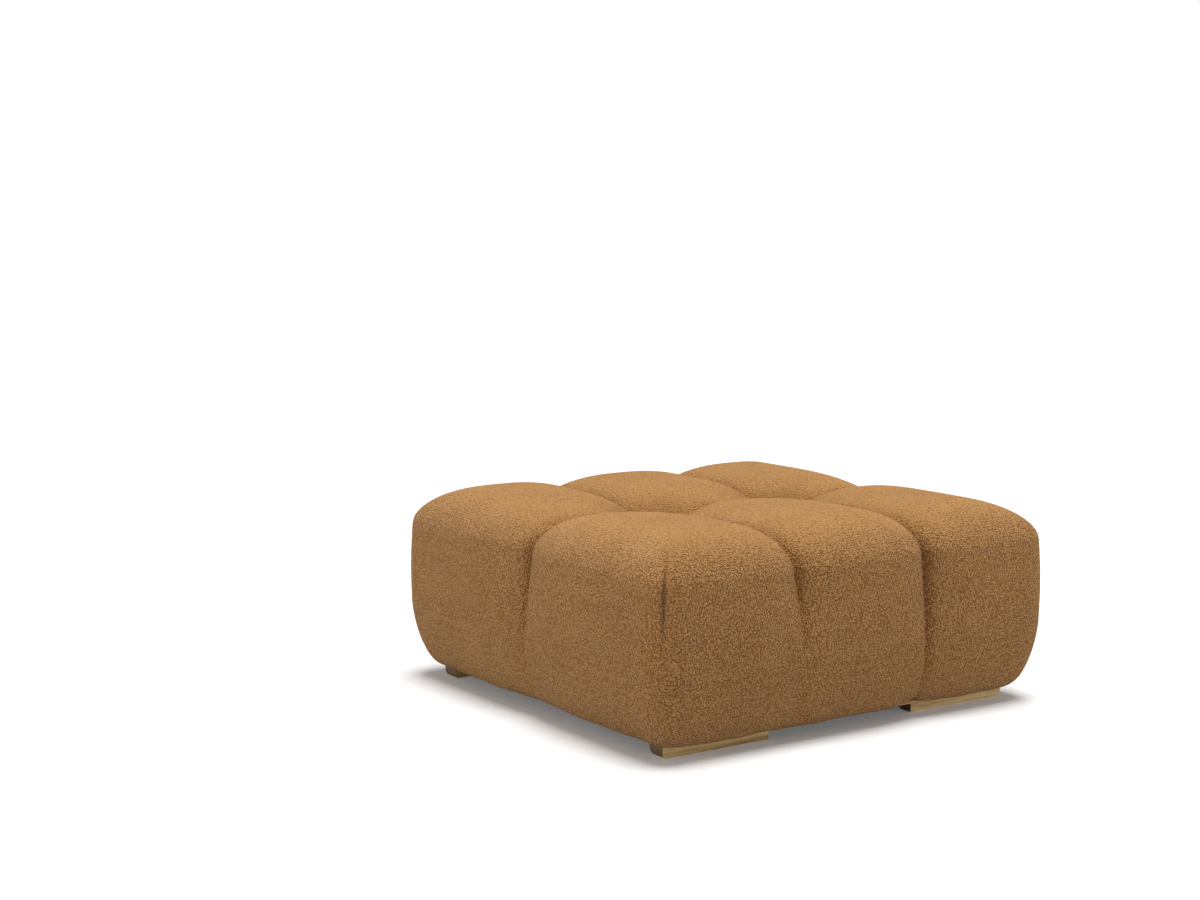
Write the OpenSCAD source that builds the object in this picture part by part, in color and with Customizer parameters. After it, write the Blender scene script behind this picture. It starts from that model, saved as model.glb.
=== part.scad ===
// Upholstered storage ottoman, all sizes in millimetres.
// The whole padded body is a lift-up hood. It is hinged low at the back, over a base board
// that carries the storage box and stands on four low wooden skids. Two gas struts hold it open.
// The origin is the middle of the footprint on the floor: +X runs along the long side,
// -Y is the front, +Y is the hinge side and +Z is up.

/* [Body] */
// Length of the padded body along X
body_length = 1000; // [920:10:1100]
// Depth of the padded body along Y
body_depth = 974; // [900:2:1060]
// Height of the padded top above the floor
top_height = 428; // [410:1:450]
// Gap between the top of the feet and the fabric's lower edge
edge_gap = 2; // [1:0.5:3]

/* [Padding] */
// How far the soft shoulder reaches in over the top
shoulder_reach = 160; // [130:1:170]
// How far the soft shoulder drops before the side is upright
shoulder_drop = 85; // [70:1:95]
// Height of the roll that curls under at the lower edge
lower_roll_height = 142; // [120:1:160]
// How far the lower edge is tucked in under the body
underside_tuck = 52; // [46:1:54]
// Corner radius of the upright faces, seen from above
corner_radius = 52; // [40:1:60]
// Corner radius where the shoulder meets the top
top_corner_radius = 30; // [20:1:40]
// Swell of the upright faces
side_swell = 9; // [0:0.5:14]
// Height of the middle of that swell
swell_height = 230; // [200:1:250]
// Half the height over which the faces swell
swell_reach = 160; // [130:1:180]
// Swell of the top
top_crown = 1.6; // [0:0.2:6]
// Depth of the two channels that run from front to back
cross_channel_depth = 34; // [20:0.5:38]
// Half the width of those channels
cross_channel_reach = 140; // [100:1:140]
// Depth of the channel that runs along the length
long_channel_depth = 33; // [20:0.5:38]
// Half the width of that channel
long_channel_reach = 190; // [150:1:200]
// Extra depth of the tufted dimples where the channels cross
dimple_depth = 32; // [20:0.5:36]
// Reach of a dimple from its middle
dimple_reach = 110; // [90:1:130]
// Thickness of the pile fabric cover
cover_thickness = 3; // [2:0.5:4]
// Play between the cover and the foam
foam_play = 0.3; // [0.2:0.1:0.6]
// Foam left between a dimple and the lid board
tuft_foam = 4; // [3:0.5:10]

/* [Lid frame] */
// Thickness of the frame panels and the lid board
panel_thickness = 18; // [15:1:20]
// Padding between the outer face of the body and the frame
panel_inset = 56; // [54:1:62]
// Width and height of the batten that carries the hinges
hinge_batten = 40; // [34:1:44]
// Width of the rails under the lid board
rail_width = 44; // [30:1:60]
// Height of the rails under the lid board
rail_height = 18; // [12:1:24]
// Side of the glue blocks in the corners
corner_block = 28; // [20:1:30]
// Thickness of the lining under the lid board
lining_thickness = 1.5; // [1:0.5:2]

/* [Base] */
// Height of the feet
foot_height = 22; // [20:1:26]
// Length of a foot along X
foot_length = 256; // [200:2:280]
// Depth of a foot along Y
foot_depth = 42; // [38:1:48]
// Distance from the body's end face to the foot's end
foot_end_inset = 56; // [50:1:70]
// Distance from the body's front face to the foot's front
foot_front_inset = 75; // [70:1:80]
// Radius of the foot's rounded lower back edge
foot_back_radius = 18; // [10:1:19]
// Radius of the foot's rounded lower outer corner
foot_end_radius = 9; // [4:1:12]
// Thickness of the base board
board_thickness = 15; // [12:1:18]
// Gap between the base board and the turned-up hem
board_edge_gap = 4; // [3:0.5:6]
// Thickness of the dust cover under the base board
dust_cover_thickness = 1; // [0.5:0.5:2]
// Distance from the board's edge to the dust cover's edge
dust_cover_margin = 12; // [8:1:20]
// Thickness of the storage box's walls
box_wall = 12; // [10:1:15]
// Height of the storage box's walls
box_height = 220; // [180:2:224]
// Width of the space beside the box for a gas strut
strut_bay = 37; // [36:1:42]
// Clear space between the opening lid and the front of the box
box_front_gap = 10; // [6:1:20]
// Clear space between the hinge batten and the back of the box
box_back_gap = 7; // [5:1:12]
// Thickness of the box's fabric lining
box_lining = 1.5; // [1:0.5:2]
// Height of the rubber buffers that the lid rests on
buffer_height = 9; // [8:0.5:12]
// Radius of the rubber buffers
buffer_radius = 8; // [6:0.5:8.5]

/* [Hinges] */
// Opening angle of the lid in degrees
open_angle = 50; // [40:1:52]
// Length of a hinge along its pin
hinge_length = 64; // [50:1:80]
// Width of a hinge leaf
leaf_width = 38; // [34:1:42]
// Thickness of a hinge leaf
leaf_thickness = 2.2; // [2:0.1:2.5]
// Gap between the closed leaves
leaf_gap = 0.6; // [0.4:0.1:0.8]
// Outer radius of the hinge knuckles
knuckle_radius = 4.5; // [4:0.1:5]
// Gap between the knuckles and the hem
knuckle_gap = 2.5; // [2:0.1:4]
// Radius of the hinge pin
pin_radius = 2; // [1.5:0.1:2.2]
// Gap between neighbouring knuckles along the pin
knuckle_end_gap = 0.4; // [0.3:0.1:0.6]
// Radial clearance of every turning fit
running_clearance = 0.05; // [0.03:0.01:0.09]

/* [Gas struts] */
// Angle of the lower strut pivot above the hinge, in degrees
strut_base_angle = 5; // [4:0.5:7]
// Angle of the upper strut pivot above the hinge, in degrees
strut_lid_angle = 65; // [62:1:68]
// Space between the upper bracket and the lid lining
bracket_gap = 10; // [6:1:16]
// Outer radius of the strut tube
tube_radius = 11; // [9:0.5:11.5]
// Wall of the strut tube
tube_wall = 2; // [1:0.5:2.5]
// Radius of the strut rod
rod_radius = 4; // [3:0.5:4.5]
// Radius of the pivot studs
stud_radius = 4; // [3:0.5:5]
// Outer radius of the strut's end eyes
eye_radius = 8; // [7:0.5:9]
// Width of the strut's end eyes
eye_width = 10; // [8:1:12]
// Side of the square bracket plates
bracket_size = 34; // [30:1:38]
// Thickness of the bracket plates
bracket_thickness = 3; // [2:0.5:4]

/* [Fasteners] */
// Shank radius of the wood screws
screw_radius = 2; // [1.5:0.1:2.5]
// Head radius of the wood screws
screw_head_radius = 4; // [3.5:0.1:4.5]
// Height of the countersunk heads
screw_head_height = 2; // [1.6:0.1:2.1]
// Length of the screws that join panels
panel_screw_length = 40; // [34:1:44]
// Length of the screws that hold the feet
foot_screw_length = 30; // [24:1:32]
// Length of the screws in the hinge leaves
hinge_screw_length = 14; // [10:1:16]
// Length of the screws in the strut brackets
bracket_screw_length = 12; // [8:1:13]
// Distance from a panel's end to its first screw
screw_end_distance = 45; // [40:1:60]

/* [Hidden] */
$fn = 48;
half_length = body_length / 2;
half_depth = body_depth / 2;
seam_x = body_length / 6;

// Heights, from the floor up
edge_z = foot_height + edge_gap;
board_top = foot_height + board_thickness;
hinge_z = board_top + leaf_thickness + leaf_gap / 2;
batten_bottom = board_top + 2 * leaf_thickness + leaf_gap;
panel_bottom = board_top + buffer_height;
roll_top = edge_z + lower_roll_height;
dimple_z = top_height + top_crown * (1 - pow(seam_x / half_length, 2))
    - cross_channel_depth - long_channel_depth - dimple_depth;
lid_board_top = dimple_z - cover_thickness - tuft_foam;
panel_top = lid_board_top - panel_thickness;
lining_bottom = panel_top - rail_height - lining_thickness;
box_top = board_top + box_height;

// Places across the body
panel_x = half_length - panel_inset;
panel_y = half_depth - panel_inset;
panel_inner_x = panel_x - panel_thickness;
panel_inner_y = panel_y - panel_thickness;
hem_y = panel_y - cover_thickness;
hinge_y = hem_y - knuckle_gap - knuckle_radius;
hem_sweep = norm([hem_y - hinge_y, hinge_z - edge_z]);
board_x = panel_x - cover_thickness - board_edge_gap;
board_front = -(hem_y - board_edge_gap);
board_back = hem_y - board_edge_gap - hem_sweep;
board_corner = plan_radius(panel_inset + cover_thickness) - board_edge_gap;
batten_front = panel_inner_y - hinge_batten;
box_x = panel_inner_x - strut_bay;
box_back_y = batten_front - box_back_gap;
box_reach = hinge_y + panel_inner_y - box_front_gap;
box_front_y = hinge_y - sqrt(pow(box_reach, 2) - pow(box_top - hinge_z, 2));
foot_end_x = half_length - foot_end_inset;
foot_front_y = half_depth - foot_front_inset;
foot_middle_x = foot_end_x - foot_length / 2;
foot_screw_spacing = foot_length / 2;
rail_x = body_length / 4;

// Strut geometry: both pivots lie on one circle round the hinge, so the strut turns by half the
// lid's angle and the rod stays in line with the tube over the whole travel
strut_x = (box_x + panel_inner_x) / 2;
strut_arm = (lining_bottom - bracket_size / 2 - bracket_gap - hinge_z) / sin(strut_lid_angle);
base_pivot = [hinge_y - strut_arm * cos(strut_base_angle), hinge_z + strut_arm * sin(strut_base_angle)];
lid_pivot = [hinge_y - strut_arm * cos(strut_lid_angle), hinge_z + strut_arm * sin(strut_lid_angle)];
strut_lean = (strut_base_angle + strut_lid_angle) / 2;
closed_span = 2 * strut_arm * sin((strut_lid_angle - strut_base_angle) / 2);
eye_neck = 16;
neck_radius = eye_width / 2 - 0.4;
gland_length = 12;
piston_length = 8;
piston_play = 0.4;
tube_end = closed_span - eye_radius - 18;
piston_start = eye_neck + 8;
rod_length = closed_span - piston_start;
stud_reach = (strut_bay + eye_width) / 2 + 1.5;
collar_radius = stud_radius + 2;
collar_length = 1.2;

// Padded surface: lines across the top, and rows from the top's rim down to the hem
edge_band = shoulder_reach + 30;
edge_steps = [0, 20, 52, 100];
roll_step = 22.5;
seam_steps = [0, 12, 50];
x_lines = mirrored_lines(concat(
    [0, seam_x - cross_channel_reach],
    [for (i = [len(seam_steps) - 1:-1:1]) seam_x - seam_steps[i]],
    [for (step = seam_steps) seam_x + step],
    [seam_x + cross_channel_reach],
    [for (i = [len(edge_steps) - 1:-1:0]) half_length - edge_steps[i]]));
y_lines = mirrored_lines(concat(
    seam_steps,
    [long_channel_reach, (long_channel_reach + half_depth - edge_steps[3]) / 2],
    [for (i = [len(edge_steps) - 1:-1:0]) half_depth - edge_steps[i]]));
nx = len(x_lines) - 1;
ny = len(y_lines) - 1;
rim_count = 2 * (nx + ny);

// A row is [inset, height, outward and upward part of the face normal, the same of the swell]
shoulder_rows = [for (a = [0:roll_step:90]) surface_row(shoulder_reach * (1 - sin(a)),
    top_height - shoulder_drop * (1 - cos(a)), sin(a), cos(a))];
side_rows = [for (z = [lid_board_top, (lid_board_top + roll_top) / 2, roll_top]) surface_row(0, z, 1, 0)];
under_rows = [for (a = [roll_step:roll_step:90]) surface_row(underside_tuck * (1 - cos(a)),
    roll_top - lower_roll_height * sin(a), cos(a), -sin(a))];
hem_rows = [
    [panel_inset + cover_thickness, edge_z, -1, -1, 0, -1],
    [panel_inset + cover_thickness, panel_bottom, -1, 0, 0, 0]];
rows = concat(shoulder_rows, side_rows, under_rows, hem_rows);
board_row = len(shoulder_rows);
foam_last_row = board_row + len(side_rows) + 2;

function mirrored_lines(half) = concat([for (i = [len(half) - 1:-1:1]) -half[i]], half);
function surface_row(inset, z, out, up) = [inset, z, out, up, out, up];
function clamp(v, low, high) = min(max(v, low), high);
function smooth(t) = t * t * (3 - 2 * t);
function channel(u, reach) = let (t = max(0, 1 - abs(u) / reach)) 1 - sqrt(1 - t * t);
function plan_radius(inset) = top_corner_radius
    + (corner_radius - top_corner_radius) * max(0, 1 - inset / shoulder_reach);

// Draws the outer band of a line in, so that the line meets an inset rim
function drawn_in(v, half, inset) = let (inner = half - edge_band, a = abs(v))
    a < inner ? v : sign(v) * (inner + (a - inner) * (edge_band - inset) / edge_band);

// Rounds the inset rectangle's corners: gives the place and the outward direction seen from above
function plan_point(x, y, inset) = let (
    kx = half_length - inset, ky = half_depth - inset, r = plan_radius(inset),
    px = drawn_in(x, half_length, inset), py = drawn_in(y, half_depth, inset),
    cx = clamp(px, r - kx, kx - r), cy = clamp(py, r - ky, ky - r),
    dx = px - cx, dy = py - cy, n = norm([dx, dy]), m = max(abs(dx), abs(dy)))
    n < 0.000001 ? [px, py, 0, 0] : [cx + m * dx / n, cy + m * dy / n, dx / n, dy / n];

// Puffs, channels and dimples: how far the surface stands out from its plain form
function swell(x, y, z, up) = let (
    middle = top_height - shoulder_drop / 2,
    fall = smooth(clamp((middle - z) / (middle - edge_z), 0, 1)),
    top = max(up, 0),
    from_tuft = norm([abs(x) - seam_x, y]))
    top_crown * top * (1 - pow(x / half_length, 2)) * (1 - pow(y / half_depth, 2))
    + side_swell * (1 - abs(up)) * cos(90 * clamp((z - swell_height) / swell_reach, -1, 1))
    - cross_channel_depth * (1 - 0.75 * fall) * channel(abs(x) - seam_x, cross_channel_reach)
    - long_channel_depth * (1 - 0.85 * fall) * channel(y, long_channel_reach)
    - dimple_depth * top * exp(-pow(from_tuft / dimple_reach, 1.5));

// A point of the padded surface, sunk by depth below the outer face
function pad_point(x, y, row, depth) = let (
    p = plan_point(x, y, row[0]), s = swell(p[0], p[1], row[1], row[3]),
    out = row[4] * s - row[2] * depth, up = row[5] * s - row[3] * depth)
    [p[0] + p[2] * out, p[1] + p[3] * out, row[1] + up];

// The rim runs along the front, the right end, the back and the left end
function rim_place(k) = let (m = k % rim_count)
    m < nx ? [m, 0] : m < nx + ny ? [nx, m - nx]
    : m < 2 * nx + ny ? [2 * nx + ny - m, ny] : [0, rim_count - m];
function rim_point(k, row, depth) = let (p = rim_place(k)) pad_point(x_lines[p[0]], y_lines[p[1]], row, depth);

// Points of the skin down to one row, and the faces that join them
function skin_points(last, depth) = concat(
    [for (i = [0:nx], j = [0:ny]) pad_point(x_lines[i], y_lines[j], rows[0], depth)],
    [for (r = [1:last], k = [0:rim_count - 1]) rim_point(k, rows[r], depth)]);
function grid_index(i, j) = i * (ny + 1) + j;
function skin_index(r, k) = let (m = k % rim_count, p = rim_place(m))
    r == 0 ? grid_index(p[0], p[1]) : (nx + 1) * (ny + 1) + (r - 1) * rim_count + m;
function quad(a, b, c, d) = [[a, b, c], [a, c, d]];
function skin_faces(last) = concat(
    [for (i = [0:nx - 1], j = [0:ny - 1]) each quad(grid_index(i, j), grid_index(i, j + 1),
        grid_index(i + 1, j + 1), grid_index(i + 1, j))],
    [for (r = [0:last - 1], k = [0:rim_count - 1]) each quad(skin_index(r, k), skin_index(r, k + 1),
        skin_index(r + 1, k + 1), skin_index(r + 1, k))]);
function reversed(face, shift) = [for (i = [len(face) - 1:-1:0]) face[i] + shift];

module mirror_if(flip) {
    if (flip) mirror([1, 0, 0]) children();
    else children();
}

// Countersunk wood screw: its head's face lies at the origin and it points down
module screw(length) {
    translate([0, 0, -length]) cylinder(h = length, r = screw_radius);
    translate([0, 0, -screw_head_height])
        cylinder(h = screw_head_height, r1 = screw_radius, r2 = screw_head_radius);
}

// The screw's hole, a little wider all round and open above the head
module screw_hole(length) {
    translate([0, 0, -length]) cylinder(h = length + 1, r = screw_radius + running_clearance);
    translate([0, 0, -screw_head_height]) cylinder(h = screw_head_height,
        r1 = screw_radius + running_clearance, r2 = screw_head_radius + running_clearance);
    cylinder(h = 1, r = screw_head_radius + running_clearance);
}

// Each screw place is [position, turn]
module screws(places, length) for (p = places) translate(p[0]) rotate(p[1]) screw(length);
module screw_holes(places, length) for (p = places) translate(p[0]) rotate(p[1]) screw_hole(length);

frame_screw_places = [for (sx = [-1, 1], sy = [-1, 1], z = [panel_bottom + screw_end_distance,
    panel_top - screw_end_distance])
    [[sx * (panel_x - panel_thickness / 2), sy * panel_y, z], [-90 * sy, 0, 0]]];
lid_board_screw_places = concat(
    [for (sx = [-1, 1], y = [-1, 0, 1])
        [[sx * (panel_x - panel_thickness / 2), y * (panel_y / 2), lid_board_top], [0, 0, 0]]],
    [for (x = [-1, 0, 1], sy = [-1, 1])
        [[x * (panel_x / 2), sy * (panel_y - panel_thickness / 2), lid_board_top], [0, 0, 0]]]);
box_corner_screw_places = [for (sx = [-1, 1], y = [box_front_y + box_wall / 2, box_back_y - box_wall / 2],
    z = [board_top + screw_end_distance, box_top - screw_end_distance])
    [[sx * box_x, y, z], [0, 90 * sx, 0]]];
box_floor_screw_places = concat(
    [for (sx = [-1, 1], y = [-1, 0, 1]) [[sx * (box_x - box_wall / 2),
        (box_front_y + box_back_y) / 2 + y * (box_back_y - box_front_y) / 3, foot_height], [180, 0, 0]]],
    [for (sx = [-1, 1], y = [box_front_y + box_wall / 2, box_back_y - box_wall / 2])
        [[sx * box_x / 2, y, foot_height], [180, 0, 0]]]);
foot_screw_places = [for (sx = [-1, 1], t = [-1, 1], y = [-1, 1])
    [[sx * foot_middle_x + t * foot_screw_spacing / 2, y * (foot_front_y - foot_depth / 2), board_top],
    [0, 0, 0]]];
hinge_places = [-foot_middle_x, 0, foot_middle_x];
leaf_screw_y = hinge_y - knuckle_radius - leaf_width / 2;
leaf_holes = [for (t = [-1, 0, 1]) [t * hinge_length / 3, leaf_screw_y - abs(t) * 6 + 4]];
hinge_base_screw_places = [for (x = hinge_places, h = leaf_holes)
    [[x + h[0], h[1], board_top + leaf_thickness], [0, 0, 0]]];
hinge_lid_screw_places = [for (x = hinge_places, h = leaf_holes)
    [[x + h[0], h[1], batten_bottom - leaf_thickness], [180, 0, 0]]];
bracket_holes = [for (t = [-1, 1]) t * (bracket_size / 2 - 6)];
bracket_base_screw_places = [for (sx = [-1, 1], t = bracket_holes)
    [[sx * (box_x + bracket_thickness), base_pivot[0] + t, base_pivot[1] + t], [0, 90 * sx, 0]]];
bracket_lid_screw_places = [for (sx = [-1, 1], t = bracket_holes)
    [[sx * (panel_inner_x - bracket_thickness), lid_pivot[0] + t, lid_pivot[1] - t], [0, -90 * sx, 0]]];

// A rectangle with round corners, centred along X
module rounded_plan(x, low, high, r) {
    translate([-x + r, low]) square([2 * (x - r), high - low]);
    translate([-x, low + r]) square([2 * x, high - low - 2 * r]);
    for (sx = [-1, 1], y = [low + r, high - r]) translate([sx * (x - r), y]) circle(r);
}

module box_panel(low, high) translate(low) cube(high - low);

module base_board() {
    color("#c9a877") difference() {
        translate([0, 0, foot_height]) linear_extrude(board_thickness)
            rounded_plan(board_x, board_front, board_back, board_corner);
        screw_holes(foot_screw_places, foot_screw_length);
        screw_holes(hinge_base_screw_places, hinge_screw_length);
        screw_holes(box_floor_screw_places, panel_screw_length);
    }
}

// A block's outline with its far lower corner rounded
module foot_profile(length, r) {
    square([length - r, foot_height]);
    translate([0, r]) square([length, foot_height - r]);
    translate([length - r, r]) circle(r);
}

// Low skid: flat upright front, rounded lower back edge and rounded lower outer corner
module foot(sx, front) {
    color("#98794a") difference() {
        mirror_if(sx < 0) intersection() {
            translate([0, front, 0]) rotate([90, 0, 90]) linear_extrude(foot_end_x)
                foot_profile(foot_depth, foot_back_radius);
            translate([foot_end_x - foot_length, front + foot_depth, 0]) rotate([90, 0, 0])
                linear_extrude(foot_depth) foot_profile(foot_length, foot_end_radius);
        }
        screw_holes(foot_screw_places, foot_screw_length);
    }
}
module foot_front_left() foot(-1, -foot_front_y);
module foot_front_right() foot(1, -foot_front_y);
module foot_back_left() foot(-1, foot_front_y - foot_depth);
module foot_back_right() foot(1, foot_front_y - foot_depth);

module foot_screws() color("silver") screws(foot_screw_places, foot_screw_length);

module dust_cover() {
    color("#2b2a28") difference() {
        translate([0, 0, foot_height - dust_cover_thickness]) linear_extrude(dust_cover_thickness)
            rounded_plan(board_x - dust_cover_margin, board_front + dust_cover_margin,
                board_back - dust_cover_margin, board_corner - dust_cover_margin);
        for (sx = [-1, 1], sy = [-1, 1])
            translate([sx * foot_middle_x, sy * (foot_front_y - foot_depth / 2), foot_height])
                cube([foot_length + 2, foot_depth + 2, 3 * dust_cover_thickness], center = true);
    }
}

module box_end(y) {
    color("#c9a877") difference() {
        box_panel([box_wall - box_x, y, board_top], [box_x - box_wall, y + box_wall, box_top]);
        screw_holes(box_corner_screw_places, panel_screw_length);
        screw_holes(box_floor_screw_places, panel_screw_length);
    }
}
module box_front() box_end(box_front_y);
module box_back() box_end(box_back_y - box_wall);

module box_side(sx) {
    color("#c9a877") difference() {
        mirror_if(sx < 0) box_panel([box_x - box_wall, box_front_y, board_top], [box_x, box_back_y, box_top]);
        screw_holes(box_corner_screw_places, panel_screw_length);
        screw_holes(box_floor_screw_places, panel_screw_length);
        screw_holes(bracket_base_screw_places, bracket_screw_length);
    }
}
module box_left() box_side(-1);
module box_right() box_side(1);

// Loose fabric tray that lines the storage box
module box_lining_tray() {
    x = box_x - box_wall;
    front = box_front_y + box_wall;
    back = box_back_y - box_wall;
    color("#d9d2c4") difference() {
        box_panel([-x, front, board_top], [x, back, box_top]);
        box_panel([box_lining - x, front + box_lining, board_top + box_lining],
            [x - box_lining, back - box_lining, box_top + 1]);
    }
}

module box_screws() {
    color("silver") {
        screws(box_corner_screw_places, panel_screw_length);
        screws(box_floor_screw_places, panel_screw_length);
    }
}

// Rubber buffers on the base board, under the front and side panels
module lid_buffers() {
    from_edge = buffer_radius + 1;
    color("#1d1d1d") {
        for (sx = [-1, 1]) translate([sx * panel_x / 2, board_front + from_edge, board_top])
            cylinder(h = buffer_height, r = buffer_radius);
        for (sx = [-1, 1], y = [-1, 1])
            translate([sx * (board_x - from_edge), y * panel_y / 2, board_top])
                cylinder(h = buffer_height, r = buffer_radius);
    }
}

// Butt hinge: each leaf has its own knuckles on the shared pin
knuckle_count = 5;
knuckle_pitch = hinge_length / knuckle_count;
module knuckle(i) {
    translate([i * knuckle_pitch - hinge_length / 2 + knuckle_end_gap / 2, hinge_y, hinge_z])
        rotate([0, 90, 0]) cylinder(h = knuckle_pitch - knuckle_end_gap, r = knuckle_radius);
}
module leaf(x, low, first, places) {
    plate_end = hinge_y - knuckle_radius - 1;
    color("#b9bbbd") translate([x, 0, 0]) difference() {
        union() {
            box_panel([-hinge_length / 2, plate_end - leaf_width, low],
                [hinge_length / 2, plate_end, low + leaf_thickness]);
            for (i = [first:2:knuckle_count - 1]) {
                knuckle(i);
                box_panel([i * knuckle_pitch - hinge_length / 2 + knuckle_end_gap / 2, plate_end - 1, low],
                    [(i + 1) * knuckle_pitch - hinge_length / 2 - knuckle_end_gap / 2, hinge_y,
                    low + leaf_thickness]);
            }
        }
        translate([-hinge_length, hinge_y, hinge_z]) rotate([0, 90, 0])
            cylinder(h = 2 * hinge_length, r = pin_radius + running_clearance);
        translate([-x, 0, 0]) screw_holes(places, hinge_screw_length);
    }
}
module hinge_base_left() leaf(hinge_places[0], board_top, 0, hinge_base_screw_places);
module hinge_base_middle() leaf(hinge_places[1], board_top, 0, hinge_base_screw_places);
module hinge_base_right() leaf(hinge_places[2], board_top, 0, hinge_base_screw_places);
module hinge_lid_left() leaf(hinge_places[0], batten_bottom - leaf_thickness, 1, hinge_lid_screw_places);
module hinge_lid_middle() leaf(hinge_places[1], batten_bottom - leaf_thickness, 1, hinge_lid_screw_places);
module hinge_lid_right() leaf(hinge_places[2], batten_bottom - leaf_thickness, 1, hinge_lid_screw_places);

module hinge_pins() {
    color("#8d8f92") for (x = hinge_places) translate([x - hinge_length / 2, hinge_y, hinge_z])
        rotate([0, 90, 0]) cylinder(h = hinge_length, r = pin_radius);
}
module hinge_base_screws() color("silver") screws(hinge_base_screw_places, hinge_screw_length);
module hinge_lid_screws() color("silver") screws(hinge_lid_screw_places, hinge_screw_length);

// Strut brackets: a screwed plate with a stud, and a collar that keeps the strut's eye on it
module bracket(face, pivot, sx, dir, places) {
    color("#3a3b3d") difference() {
        mirror_if(sx < 0) translate([face, pivot[0], pivot[1]]) rotate([0, 90 * dir, 0]) {
            translate([-bracket_size / 2, -bracket_size / 2, 0])
                cube([bracket_size, bracket_size, bracket_thickness]);
            cylinder(h = stud_reach + collar_length, r = stud_radius);
            translate([0, 0, stud_reach]) cylinder(h = collar_length, r = collar_radius);
        }
        screw_holes(places, bracket_screw_length);
    }
}
module strut_bracket_base_left() bracket(box_x, base_pivot, -1, 1, bracket_base_screw_places);
module strut_bracket_base_right() bracket(box_x, base_pivot, 1, 1, bracket_base_screw_places);
module strut_bracket_lid_left() bracket(panel_inner_x, lid_pivot, -1, -1, bracket_lid_screw_places);
module strut_bracket_lid_right() bracket(panel_inner_x, lid_pivot, 1, -1, bracket_lid_screw_places);
module bracket_base_screws() color("silver") screws(bracket_base_screw_places, bracket_screw_length);
module bracket_lid_screws() color("silver") screws(bracket_lid_screw_places, bracket_screw_length);

module lid_long_panel(sy) {
    color("#c9a877") difference() {
        box_panel([-panel_x, sy > 0 ? panel_inner_y : -panel_y, panel_bottom],
            [panel_x, sy > 0 ? panel_y : -panel_inner_y, panel_top]);
        screw_holes(frame_screw_places, panel_screw_length);
        screw_holes(lid_board_screw_places, panel_screw_length);
    }
}
module lid_front_panel() lid_long_panel(-1);
module lid_back_panel() lid_long_panel(1);

module lid_side_panel(sx) {
    color("#c9a877") difference() {
        mirror_if(sx < 0) box_panel([panel_inner_x, -panel_inner_y, panel_bottom],
            [panel_x, panel_inner_y, panel_top]);
        screw_holes(frame_screw_places, panel_screw_length);
        screw_holes(lid_board_screw_places, panel_screw_length);
        screw_holes(bracket_lid_screw_places, bracket_screw_length);
    }
}
module lid_left_panel() lid_side_panel(-1);
module lid_right_panel() lid_side_panel(1);

tie_radius = 1.5;
toggle_radius = 15;
toggle_thickness = 3;
tie_hole_radius = 5;
module lid_board() {
    color("#c9a877") difference() {
        box_panel([-panel_x, -panel_y, panel_top], [panel_x, panel_y, lid_board_top]);
        screw_holes(lid_board_screw_places, panel_screw_length);
        for (sx = [-1, 1]) translate([sx * seam_x, 0, panel_top - 1])
            cylinder(h = panel_thickness + 2, r = tie_hole_radius);
    }
}

module hinge_batten_rail() {
    color("#d8bd8c") difference() {
        box_panel([-panel_inner_x, batten_front, batten_bottom],
            [panel_inner_x, panel_inner_y, batten_bottom + hinge_batten]);
        screw_holes(hinge_lid_screw_places, hinge_screw_length);
    }
}

module lid_rails() {
    color("#d8bd8c") for (sx = [-1, 1]) box_panel([sx * rail_x - rail_width / 2, -panel_inner_y,
        panel_top - rail_height], [sx * rail_x + rail_width / 2, panel_inner_y, panel_top]);
}

module corner_blocks() {
    low = batten_bottom + hinge_batten;
    color("#d8bd8c") for (sx = [-1, 1], sy = [-1, 1])
        translate([sx * (panel_inner_x - corner_block / 2), sy * (panel_inner_y - corner_block / 2),
            (low + lining_bottom) / 2])
            cube([corner_block, corner_block, lining_bottom - low], center = true);
}

module lid_lining() {
    color("#26282b") box_panel([-panel_inner_x, -panel_inner_y, lining_bottom],
        [panel_inner_x, panel_inner_y, lining_bottom + lining_thickness]);
}

module lid_screws() {
    color("silver") {
        screws(frame_screw_places, panel_screw_length);
        screws(lid_board_screw_places, panel_screw_length);
    }
}

// Tuft ties: twine from the cover's dimple, through the foam and the board, to a toggle below
module tuft_ties() {
    color("#e6e0d2") for (sx = [-1, 1]) {
        translate([sx * seam_x, 0, panel_top]) cylinder(
            h = dimple_z - cover_thickness - foam_play - panel_top, r = tie_radius);
        translate([sx * seam_x, 0, panel_top - toggle_thickness])
            cylinder(h = toggle_thickness, r = toggle_radius);
    }
}

foam_depth = cover_thickness + foam_play;

// The point of the frame's outline that faces a rim place
function frame_point(k, z) = let (p = rim_place(k))
    [x_lines[p[0]] * panel_x / half_length, y_lines[p[1]] * panel_y / half_depth, z];

module foam_top() {
    outer = skin_points(board_row, foam_depth);
    outline = [for (k = [0:rim_count - 1]) frame_point(k, lid_board_top)];
    start = len(outer);
    middle = start + rim_count;
    color("#efe6b8") difference() {
        polyhedron(points = concat(outer, outline, [[0, 0, lid_board_top]]), faces = concat(
            skin_faces(board_row),
            [for (k = [0:rim_count - 1]) each quad(skin_index(board_row, k), skin_index(board_row, k + 1),
                start + (k + 1) % rim_count, start + k)],
            [for (k = [0:rim_count - 1]) [middle, start + k, start + (k + 1) % rim_count]]));
        for (sx = [-1, 1]) translate([sx * seam_x, 0, lid_board_top - 1])
            cylinder(h = top_height - lid_board_top, r = tie_radius + foam_play);
    }
}

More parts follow.
